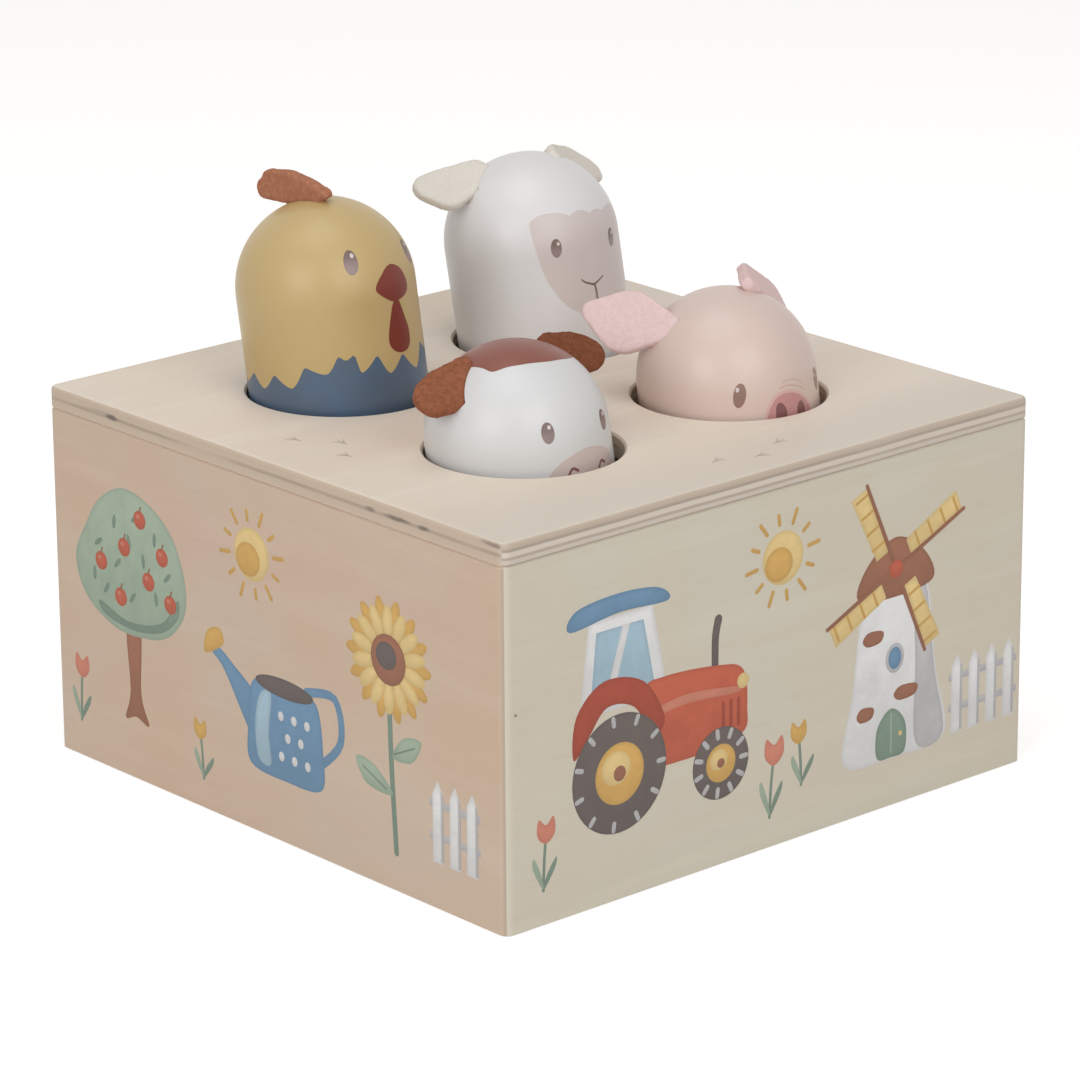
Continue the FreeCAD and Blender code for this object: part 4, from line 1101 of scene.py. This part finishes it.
def paint_sheep(sheet, finishes):
    """A bare face with a scalloped upper edge, and a small mouth."""
    scallops = [(-16.1, 8.6), (-15.3, 9.9), (-13.6, 10.7), (-11.3, 11.1), (-8.8, 10.9),
                (-6.2, 10.4), (-4.6, 9.6), (-3.7, 9.1), (-2.6, 9.6), (-0.4, 9.9), (1.8, 9.3),
                (3.3, 8.2), (5.0, 8.6), (7.2, 8.4), (9.2, 7.6), (11.2, 7.8), (13.6, 7.9),
                (16.6, 7.4)]
    cheeks = [(19.6, 5.6), (21.2, 0.6), (21.8, -5.4), (21.4, -11.6), (17.6, -16.4),
              (11.4, -18.0), (4.0, -18.0), (-1.8, -17.8), (-6.1, -16.6), (-9.3, -13.9),
              (-11.3, -11.0), (-12.9, -8.0), (-14.1, -4.4), (-14.8, -1.0), (-15.4, 2.6),
              (-15.9, 5.8)]
    sheet.add(rounded(scallops + cheeks, 3), finishes["fleece_face"])
    sheet.add(brush_stroke([(-4.0, -8.2), (-2.7, -9.3), (-0.3, -10.4)], 0.3, 0.6),
              finishes["pupil"], 1)
    sheet.add(brush_stroke([(3.5, -9.0), (1.7, -9.8), (0.0, -10.4)], 0.3, 0.6),
              finishes["pupil"], 1.5)
    sheet.add(brush_stroke([(0.0, -10.5), (0.3, -12.3), (0.3, -14.2)], 0.5, 0.75),
              finishes["eye"], 2)


def paint_cow(sheet, finishes):
    """A wide muzzle with two nostril arcs."""
    muzzle = [(-12.6, -8.6), (-10.2, -5.2), (-5.8, -2.8), (0.6, -1.8), (7.2, -3.4), (11.0, -6.2),
              (12.4, -10.6), (10.0, -15.4), (4.0, -18.4), (-3.6, -18.6), (-9.6, -16.2),
              (-12.6, -12.4)]
    sheet.add(rounded(muzzle), finishes["muzzle"])
    for x, y in ((-4.1, -6.5), (6.3, -7.6)):
        sheet.add(brush_stroke([(x - 1.6, y - 0.5), (x - 0.3, y + 0.8), (x + 1.2, y - 0.1)], 0.7),
                  finishes["nostril"], 1)


def paint_pig(sheet, finishes):
    """Snout with a pale rim, two nostrils and two creases above it."""
    snout = [(-7.4, -5.7), (-6.8, -4.0), (-5.7, -2.3), (-4.0, -0.8), (-1.8, -0.1), (0.7, -0.3),
             (3.3, -1.2), (5.8, -2.9), (8.0, -5.1), (9.1, -7.4), (8.9, -10.6), (7.0, -13.4),
             (3.6, -15.2), (-0.4, -15.3), (-4.2, -13.6), (-6.6, -10.8), (-7.5, -8.0)]
    sheet.add(rounded(snout, 4), finishes["rim"])
    sheet.add(rounded(moved(snout, 0.07, -0.9, 0.9), 4), finishes["snout"], 1)
    nostrils = ([(-4.2, -6.2), (-3.9, -3.9), (-3.1, -3.0), (-2.1, -3.2), (-1.2, -4.3),
                 (-0.7, -5.8), (-1.1, -7.4), (-2.4, -8.4), (-3.8, -7.8)],
                [(2.8, -6.8), (3.2, -5.2), (4.2, -4.4), (5.1, -4.7), (5.9, -6.2), (5.8, -8.0),
                 (4.6, -9.4), (3.2, -8.8)])
    for outline in nostrils:
        sheet.add(rounded(outline, 4), finishes["nostril"], 2)
    sheet.add(brush_stroke([(-2.3, 0.6), (-0.5, 0.9), (1.9, 0.5), (4.5, -0.6), (6.6, -2.0)],
                           0.3), finishes["crease"])
    sheet.add(brush_stroke([(-1.2, 1.9), (0.2, 2.2), (2.2, 1.9), (4.3, 1.1), (5.6, 0.1)],
                           0.3), finishes["crease"])


PAINTERS = {"chicken": paint_chicken, "sheep": paint_sheep, "cow": paint_cow, "pig": paint_pig}
DETAIL_PAINTS = ("beak", "fleece_face", "cap", "muzzle", "snout", "rim", "crease", "nostril",
                 "hazel", "pupil", "glint")
DETAIL_ROUGHNESS = 0.42

# The rim of the cow's cap: degrees from its front, and distance from the crown in plan.
COW_CAP = ((-90, 11.4), (-74, 11.6), (-60, 12.6), (-42, 11.7), (-23, 11.8), (0, 12.8),
           (18, 13.9), (40, 15.6), (62, 17.0), (88, 17.4), (115, 17.0), (140, 17.6),
           (165, 18.4), (190, 17.6), (215, 16.0), (245, 13.6))
CAP_LAYER = 2  # high enough that the peg's own facets stay below it


def cow_cap(peg, settings, finish):
    """The brown cap on the cow's crown."""
    patch = [(reach * math.sin(math.radians(turn)), -reach * math.cos(math.radians(turn)))
             for turn, reach in COW_CAP]
    cap = LayeredMesh("cow_cap", peg.over, settings.paint, PAINT_CELL)
    cap.add(rounded(patch), finish, CAP_LAYER)
    cap.build("cow")


# The tips and notches of the feathers: degrees from the front, and millimetres above the
# middle of the round top.
FEATHERS = ((-112, -17.4), (-102, -21.2), (-90.6, -16.6), (-78, -20.2), (-67.7, -14.2),
            (-53.7, -16.7), (-45.3, -11.9), (-40.8, -13.7), (-34.5, -12.0), (-32.3, -17.8),
            (-19.6, -13.6), (-11.7, -19.8), (0.3, -15.6), (14.1, -21.5), (24, -15.4),
            (34, -18.6), (41, -13.4), (54, -18.0), (62, -14.8), (75, -20.4), (88, -15.6),
            (99, -19.2), (112, -14.2), (124, -18.8), (136, -15.8), (148, -20.8), (160, -16.0),
            (172, -19.6), (184, -14.8), (197, -19.4), (211, -15.4), (232, -21.4))
FEATHER_STEP = 1.5  # degrees round the peg
FEATHER_BEND = 1.5  # 1 gives straight-sided feathers, and more gives round tips
BAND_CLEAR = 4.0  # from the foot disc to the band, in millimetres
BAND_ROWS = 3  # of mesh cells


def feather_band(peg, settings, finish):
    """A band round the foot of the chicken, with an uneven row of pointed feathers."""
    bottom = BAND_CLEAR - (settings.length - settings.radius) / MM
    first = FEATHERS[0]
    columns = []
    for (start, low), (end, high) in zip(FEATHERS, FEATHERS[1:] + ((first[0] + 360, first[1]),)):
        steps = max(2, round((end - start) / FEATHER_STEP))
        for step in range(steps):
            part = step / steps
            if high > low:
                bend = part ** FEATHER_BEND
            else:
                bend = 1 - (1 - part) ** FEATHER_BEND
            columns.append((start + (end - start) * part, low + (high - low) * bend))
    tops = [top for _, top in columns]
    columns = [(turn, (tops[index - 1] + 2 * top + tops[(index + 1) % len(tops)]) / 4)
               for index, (turn, top) in enumerate(columns)]
    levels = [(level, settings.paint) for level in range(BAND_ROWS + 1)]
    levels += [(level, -settings.paint) for level in range(BAND_ROWS, -1, -1)]
    vertices, faces = [], []
    for turn, top in columns:
        for level, lift in levels:
            vertices.append(peg.skin(turn, bottom + (top - bottom) * level / BAND_ROWS, lift))
    ring, count = len(levels), len(columns)
    for column in range(count):
        here, there = column * ring, (column + 1) % count * ring
        for corner in range(ring):
            after = (corner + 1) % ring
            faces.append((here + corner, there + corner, there + after, here + after))
    mesh = bpy.data.meshes.new("chicken_feather_band")
    mesh.from_pydata([tuple(vertex) for vertex in vertices], [], faces)
    mesh.materials.append(finish)
    add_piece("chicken_feather_band", mesh, "chicken")


# ---------------------------------------------------------------------------
# Felt
# ---------------------------------------------------------------------------

# Each felt piece: its animal, slot and colour, how far it cups in millimetres, and how many
# rounds of smoothing wear its edges.
FELT = {
    "chicken_comb": ("chicken", "comb_felt", "clay", 0.4, 4),
    "sheep_ear_left": ("sheep", "sheep_felt", "cream", 0.9, 9),
    "sheep_ear_right": ("sheep", "sheep_felt", "cream", 0.9, 9),
    "cow_ear_left": ("cow", "cow_felt", "rust", 1.1, 9),
    # The right ear's darker felt is a painted shade.
    "cow_ear_right": ("cow", "cow_felt", "russet", 0.9, 9),
    "pig_ear_left": ("pig", "pig_felt", "pink", 0.5, 9),
    "pig_ear_right": ("pig", "pig_felt", "pink", 0.5, 9),
}
LAST_WEAR = 2  # rounds of smoothing after a piece is bent
FELT_CONTRAST = {"rust": 0.9, "russet": 0.9, "clay": 0.7, "cream": 0.12, "pink": 0.2}


def softened(name, source, cell, wear):
    """A new evenly meshed body of the source's shape, with its edges worn round."""
    copy = bpy.data.objects.new(name + "_copy", source.copy())
    bpy.context.scene.collection.objects.link(copy)
    remesh = copy.modifiers.new("even", "REMESH")
    remesh.mode = "VOXEL"
    remesh.voxel_size = cell
    smooth = copy.modifiers.new("worn", "SMOOTH")
    smooth.factor = 0.5
    smooth.iterations = wear
    depsgraph = bpy.context.evaluated_depsgraph_get()
    mesh = bpy.data.meshes.new_from_object(copy.evaluated_get(depsgraph))
    mesh.name = name
    blank = copy.data
    bpy.data.objects.remove(copy)
    bpy.data.meshes.remove(blank)
    return mesh


def leaf_axes(mesh, centre):
    """Along, across and through a leaf: its root lies nearest to the peg's middle."""
    points = [vertex.co for vertex in mesh.vertices]
    middle = sum(points, Vector()) / len(points)
    along = (middle - centre).normalized()
    far = max(points, key=lambda point: (point - middle).length)
    along = (far - middle) * (1 if (far - middle).dot(along) > 0 else -1)
    along.normalize()
    spread = Matrix(((0, 0, 0),) * 3)
    for point in points:
        offset = point - middle
        for row in range(3):
            for column in range(3):
                spread[row][column] += offset[row] * offset[column]
    through = spread.inverted_safe() @ Vector((0.3, 0.5, 0.8))
    for _ in range(12):
        through = (spread.inverted_safe() @ through).normalized()
    return middle, along, through.cross(along).normalized(), through


def point_comb(mesh, centre):
    """Trims the top of the comb's front end to a point."""
    middle, along, across, _ = leaf_axes(mesh, centre)
    if across.z < 0:
        across = -across
    reach = max(abs((vertex.co - middle).dot(along)) for vertex in mesh.vertices)
    front = 1 if along.y < 0 else -1
    for vertex in mesh.vertices:
        offset = vertex.co - middle
        near = max(0.0, front * offset.dot(along) / reach - 0.35) / 0.65
        high = max(0.0, offset.dot(across))
        vertex.co -= across * high * 0.75 * near ** 1.5


def bend_leaf(mesh, centre, cup, swell):
    """Cups the leaf a little, away from its root, and swells its rim and its root."""
    middle, along, across, through = leaf_axes(mesh, centre)
    reach = max(abs((vertex.co - middle).dot(along)) for vertex in mesh.vertices)
    if through.z > 0:
        through = -through
    for vertex in mesh.vertices:
        offset = vertex.co - middle
        out = (offset.dot(along) + reach * 0.4) / reach
        free = min(1.0, max(0.0, out)) ** 1.5
        side = offset.dot(across) / (0.5 * reach)
        lift = cup * MM * free * (0.35 - side * side * 0.8)
        flat = vertex.normal - through * vertex.normal.dot(through)
        root = min(1.0, max(0.0, (0.05 - out) / 0.25))
        vertex.co += through * -lift + vertex.normal * root * swell * 0.6 + flat * swell


def roughen(mesh, fluff):
    """Makes the felt's surface uneven."""
    for vertex in mesh.vertices:
        rough = noise.noise(vertex.co * 900) + 0.6 * noise.noise(vertex.co * 2400)
        vertex.co += vertex.normal * rough * fluff


# ---------------------------------------------------------------------------
# Stage
# ---------------------------------------------------------------------------

# The floor: half its side and how far it lies below the toy, in metres.
FLOOR_HALF = 6.0
FLOOR_GAP = 0.2 * MM

# Each lamp: its name, its place, its size, and the setting that holds its power.
LAMPS = (("key_lamp", (-0.3, -1.45, 0.95), 1.1, "key"),
         ("side_lamp", (-1.5, -0.4, 0.75), 0.9, "side"),
         ("top_lamp", (-0.25, 0.0, 1.5), 1.0, "top"))
LAMP_AIM = Vector((0, 0, 0.08))
LAMP_TINT = (0.985, 1.0, 1.025)
SKY_TINT = (1.0, 0.955, 0.9)
FLOOR_GREY = (0.82, 0.82, 0.82)
FLOOR_GLOW = 0.5
WHITE = (1.0, 1.0, 1.0)
BLACK = (0.0, 0.0, 0.0)

# Which way is right and which is up for the camera.
CAMERA_RIGHT = Vector((0.74836, -0.66326, -0.00639))
CAMERA_UP = Vector((0.21315, 0.23135, 0.94923))


def lay_floor():
    """A pale floor that takes the shadow, and reads as white where it is lit."""
    mesh = bpy.data.meshes.new("floor")
    corners = [(x * FLOOR_HALF, y * FLOOR_HALF, 0) for x, y in ((-1, -1), (1, -1), (1, 1), (-1, 1))]
    mesh.from_pydata(corners, [], [(0, 1, 2, 3)])
    finish = Finish("pale_floor", roughness=0.9)
    finish.shader.inputs["Specular IOR Level"].default_value = 0.0
    finish.paint(FLOOR_GREY)
    glow = finish.mix(finish.seen_directly(), BLACK, WHITE)
    finish.feed(finish.shader.inputs["Emission Color"], glow)
    finish.shader.inputs["Emission Strength"].default_value = FLOOR_GLOW
    mesh.materials.append(finish.material)
    floor = bpy.data.objects.new("floor", mesh)
    floor.location.z = -FLOOR_GAP
    bpy.context.scene.collection.objects.link(floor)


def light_world(scene, strength):
    """Even warm light, and plain white where it is looked at."""
    world = bpy.data.worlds.new("studio")
    world.use_nodes = True
    world.node_tree.nodes.clear()
    bench = Bench(world.node_tree)
    lit = bench.node("ShaderNodeBackground", {}, {"Color": SKY_TINT, "Strength": strength})
    seen = bench.node("ShaderNodeBackground", {}, {"Color": WHITE, "Strength": 1.0})
    choice = bench.node("ShaderNodeMixShader", {}, {0: bench.seen_directly(), 1: lit, 2: seen})
    bench.node("ShaderNodeOutputWorld", {}, {"Surface": choice}, output=())
    scene.world = world


def hang_lamp(name, place, size, power):
    """A square soft lamp that points at the toy."""
    data = bpy.data.lights.new(name, "AREA")
    data.size = size
    data.energy = power
    data.color = LAMP_TINT
    lamp = bpy.data.objects.new(name, data)
    lamp.location = place
    aim = LAMP_AIM - Vector(place)
    lamp.rotation_euler = aim.to_track_quat("-Z", "Y").to_euler()
    bpy.context.scene.collection.objects.link(lamp)


def place_camera(scene, lens, place):
    """The camera, turned by its right and up directions."""
    data = bpy.data.cameras.new("camera")
    data.lens = lens
    data.sensor_width = 36.0
    data.sensor_fit = "HORIZONTAL"
    data.clip_start = 0.05
    camera = bpy.data.objects.new("camera", data)
    right = CAMERA_RIGHT.normalized()
    up = (CAMERA_UP - right * CAMERA_UP.dot(right)).normalized()
    turn = Matrix((right, up, right.cross(up))).transposed().to_4x4()
    camera.matrix_world = Matrix.Translation(Vector(place)) @ turn
    scene.collection.objects.link(camera)
    scene.camera = camera


# ---------------------------------------------------------------------------
# Operators
# ---------------------------------------------------------------------------


class ANIMALBOX_OT_wood(bpy.types.Operator):
    """Finish the lid, the sides, the base and everything inside the box"""

    bl_idname = "animal_box.wood"
    bl_label = "Finish Wood"

    def execute(self, context):
        look = context.scene.animal_box_wood
        plain = tuple(look.front)
        boards = {
            "lid": lid_board(look),
            # The front's upright edges take a faint painted highlight, and the left side's a
            # painted shade.
            "front_panel": board("front_plywood", plain, "X", 0.3, 0.5, arris=1.02,
                                 knots=[FRONT_KNOT]),
            "back_panel": board("back_plywood", plain, "X", 0.3, 0.5),
            "left_panel": board("left_plywood", tuple(look.left), "Y", 0.9, 1.6, arris=0.8),
            "right_panel": board("right_plywood", plain, "Y", 0.4, 0.9),
        }
        for node, finish in boards.items():
            dress_node(node, finish)
        turned = bare_wood("turned_dowel", tuple(look.inner_wood), "X")
        levers = bare_wood("sawn_lever", tuple(look.inner_wood), "Y")
        posts = bare_wood("sawn_post", tuple(look.inner_wood), "Z")
        base = bare_wood("base_board", shade(tuple(look.front), 0.97), "X")
        for node in ("axle", "spacer_left", "spacer_middle", "spacer_right"):
            dress_node(node, turned)
        for node in ("rocker_left", "rocker_right"):
            dress_node(node, levers)
        for corner in ("front_left", "front_right", "back_left", "back_right"):
            dress_node("post_" + corner, posts)
        dress_node("base_panel", base)
        for animal in ANIMALS:
            dress_node(animal + "_foot", base)
        screws = plated_steel("zinc_plating", tuple(look.steel))
        for node in ["base_screws"] + [animal + "_foot_screw" for animal in ANIMALS]:
            dress_node(node, screws)
        return {"FINISHED"}


class ANIMALBOX_OT_prints(bpy.types.Operator):
    """Print the farm pictures on the four sides, and the tracks on the lid"""

    bl_idname = "animal_box.prints"
    bl_label = "Print Pictures"

    def execute(self, context):
        look = context.scene.animal_box_prints
        inks = Inks(look)
        for name, place, draw, slot in PRINTS:
            sheet = LayeredMesh(name, place, look.ink, PRINT_CELL)
            draw(sheet, inks)
            sheet.build("box")
        return {"FINISHED"}


class ANIMALBOX_OT_pegs(bpy.types.Operator):
    """Paint the four animals"""

    bl_idname = "animal_box.pegs"
    bl_label = "Paint Animals"

    def execute(self, context):
        look = context.scene.animal_box_pegs
        finishes = {name: satin_paint("paint_" + name, tuple(getattr(look, name)),
                                      DETAIL_ROUGHNESS) for name in DETAIL_PAINTS}
        finishes["eye"] = satin_paint("paint_eye", tuple(look.eye), DETAIL_ROUGHNESS,
                                      upper=tuple(look.pupil))
        finishes["band"] = satin_paint("paint_feathers", tuple(look.band), DETAIL_ROUGHNESS,
                                       wash=tuple(look.band_wash))
        for animal in ANIMALS:
            peg = Peg(animal, look)
            dress_node(animal + "_peg",
                       satin_paint("paint_" + animal, tuple(getattr(look, animal))))
            face = LayeredMesh(animal + "_face", peg.face, look.paint, PAINT_CELL)
            PAINTERS[animal](face, finishes)
            iris, size, glint, *eyes = EYES[animal]
            for place, tilt in eyes:
                draw_eye(face, finishes, iris, place, size, tilt, glint)
            face.build(animal)
            if animal == "chicken":
                feather_band(peg, look, finishes["band"])
            if animal == "cow":
                cow_cap(peg, look, finishes["cap"])
        return {"FINISHED"}


class ANIMALBOX_OT_felt(bpy.types.Operator):
    """Cut the felt comb and ears"""

    bl_idname = "animal_box.felt"
    bl_label = "Cut Felt"

    def execute(self, context):
        look = context.scene.animal_box_felt
        pegs = context.scene.animal_box_pegs
        finishes = {name: wool_felt("felt_" + name, tuple(getattr(look, name)), contrast)
                    for name, contrast in FELT_CONTRAST.items()}
        for node, (animal, slot, colour, cup, wear) in FELT.items():
            blank = softened(node + "_blank", frame["nodes"][node].data, look.grid, wear)
            centre = Peg(animal, pegs).centre
            if node == "chicken_comb":
                point_comb(blank, centre)
            bend_leaf(blank, centre, cup, look.swell)
            mesh = softened(node + "_felt", blank, look.grid, LAST_WEAR)
            bpy.data.meshes.remove(blank)
            roughen(mesh, look.fluff)
            mesh.materials.clear()
            mesh.materials.append(finishes[colour])
            mesh.polygons.foreach_set("use_smooth", [True] * len(mesh.polygons))
            piece = add_piece(node + "_felt", mesh, animal)
            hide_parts(node)
        return {"FINISHED"}


class ANIMALBOX_OT_stage(bpy.types.Operator):
    """Set the pale floor, the soft lamps and the camera"""

    bl_idname = "animal_box.stage"
    bl_label = "Set Stage"

    def execute(self, context):
        look = context.scene.animal_box_stage
        scene = context.scene
        scene.view_settings.view_transform = "Standard"
        lay_floor()
        light_world(scene, look.world)
        for name, place, size, setting in LAMPS:
            hang_lamp(name, place, size, getattr(look, setting))
        place_camera(scene, look.lens, look.camera)
        return {"FINISHED"}


class ANIMALBOX_PT_panel(bpy.types.Panel):
    """Lists the steps and the settings of the animal box"""

    bl_idname = "ANIMALBOX_PT_panel"
    bl_label = "Animal Box"
    bl_space_type = "VIEW_3D"
    bl_region_type = "UI"
    bl_category = "Animal Box"

    def draw(self, context):
        for operator in OPERATORS:
            self.layout.operator(operator.bl_idname)
        for name, group in SETTINGS.items():
            column = self.layout.column()
            for setting in group.__annotations__:
                column.prop(getattr(context.scene, name), setting)


OPERATORS = (ANIMALBOX_OT_wood, ANIMALBOX_OT_prints, ANIMALBOX_OT_pegs, ANIMALBOX_OT_felt,
             ANIMALBOX_OT_stage)
CLASSES = tuple(SETTINGS.values()) + OPERATORS + (ANIMALBOX_PT_panel,)


def register():
    for item in CLASSES:
        bpy.utils.register_class(item)
    for name, group in SETTINGS.items():
        setattr(bpy.types.Scene, name, PointerProperty(type=group))


def unregister():
    for name in SETTINGS:
        delattr(bpy.types.Scene, name)
    for item in reversed(CLASSES):
        bpy.utils.unregister_class(item)


def main():
    register()
    for operator in OPERATORS:
        group, name = operator.bl_idname.split(".")
        getattr(getattr(bpy.ops, group), name)()


if __name__ == "__main__":
    main()
